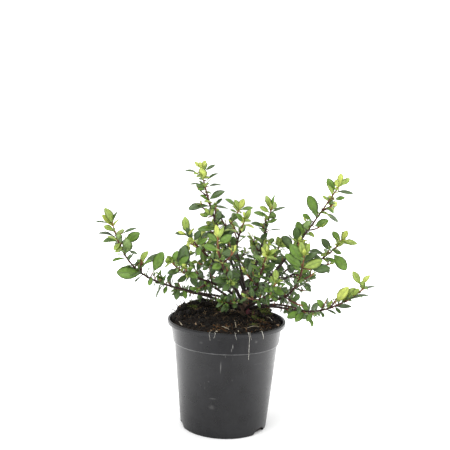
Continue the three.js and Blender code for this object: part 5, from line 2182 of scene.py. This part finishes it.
def pot_finish(name, gloss):
    material, tree, shader = principled(name, (0.010, 0.010, 0.012), 0.30, gloss)
    place = object_place(tree)
    patches = mottled(tree, (0.004, 0.004, 0.0050), (0.011, 0.011, 0.0130), 55.0, 3.0)
    color = patches["Color"]
    for stretch, cut, tone in SCRATCHES:
        streak = noise_node(tree, moved(tree, place, stretch), 1.0, 3.0, 0.6)
        over = times(tree, math_node(tree, "SUBTRACT", streak, cut), SCRATCH_STEEP)
        share = times(tree, clamped(tree, over), SCRATCH_SHARE)
        color = mix_colors(tree, share, color, (tone, 0.98 * tone, 0.94 * tone))
    for middle, size, strength in POT_MARKS:
        inward = moved(tree, place, [1 / (MM * s) for s in size], [-m / s for m, s in zip(middle, size)])
        away = add_node(tree, "ShaderNodeVectorMath", operation="LENGTH", Vector=inward).outputs["Value"]
        near = clamped(tree, math_node(tree, "SUBTRACT", 1.0, away))
        color = mix_colors(tree, times(tree, near, strength), color, DUST)
    up = split_place(tree, place)["Z"]
    uneven = math_node(tree, "ADD", patches["Mask"], 0.3)
    # The pale band at the ledge is a painted highlight. The bands at the rim's lip and the foot make them
    # darker.
    for height, reach, tone, strength in POT_BANDS:
        away = math_node(tree, "ABSOLUTE", math_node(tree, "SUBTRACT", up, height * MM))
        near = clamped(tree, math_node(tree, "SUBTRACT", 1.0, math_node(tree, "DIVIDE", away, reach * MM)))
        share = times(tree, times(tree, near, uneven), strength)
        color = mix_colors(tree, share, color, (tone, tone, tone))
    coat(tree, shader, color, 700.0, 0.12)
    duller = math_node(tree, "ADD", times(tree, patches["Mask"], 0.12), 0.24)
    tree.links.new(duller, shader.inputs["Roughness"])
    return material


# %% The pot and its drain notches
DRAIN_ANGLES = (56, 170, 284)
DRAIN_WIDTH = 20
DRAIN_HEIGHT = 6
DRAIN_DEPTH = 16


def make_pot():
    outline = pot_outline()
    points = [(0, 0, outline[0][1])]
    for radius, height in outline[1:-1]:
        points += [(radius * out[0], radius * out[1], height) for _, out in circle(POT_AROUND)]
    points.append((0, 0, outline[-1][1]))
    faces = tube_faces(len(outline) - 2, POT_AROUND, 1, 0, len(points) - 1)
    pot = make_piece("nursery_pot", points, faces, pot_finish("black_plastic", WALL_GLOSS))
    pot.data.materials.append(pot_finish("dull_rim_plastic", RIM_GLOSS))
    for face in pot.data.polygons:
        face.material_index = int(face.center.z > COLLAR_FOOT_HEIGHT * MM)
    return pot


def cut_drains(pot):
    """Three cylinders lying outward notch the foot, and then go"""
    for angle in DRAIN_ANGLES:
        radius, depth = 0.5 * DRAIN_WIDTH * MM, DRAIN_DEPTH * MM
        bpy.ops.mesh.primitive_cylinder_add(vertices=64, radius=radius, depth=depth)
        cutter = bpy.context.object
        turn = Matrix.Rotation(math.radians(angle), 4, "Z") @ Matrix.Translation((0, -FOOT_RADIUS * MM, 0))
        squash = Matrix.Diagonal((1, 1, 2 * DRAIN_HEIGHT / DRAIN_WIDTH, 1))
        cutter.matrix_world = turn @ squash @ Matrix.Rotation(math.radians(90), 4, "X")
        cut = pot.modifiers.new("drain", "BOOLEAN")
        cut.operation, cut.solver, cut.object = "DIFFERENCE", "EXACT", cutter
        graph = bpy.context.evaluated_depsgraph_get()
        mesh = bpy.data.meshes.new_from_object(pot.evaluated_get(graph))
        pot.modifiers.remove(cut)
        pot.data = mesh
        bpy.data.objects.remove(cutter)
    pot.data.shade_smooth()
    pot.data.set_sharp_from_angle(angle=math.radians(50))


pot = make_pot()
cut_drains(pot)
hand_over(pot, "pot", "pot")
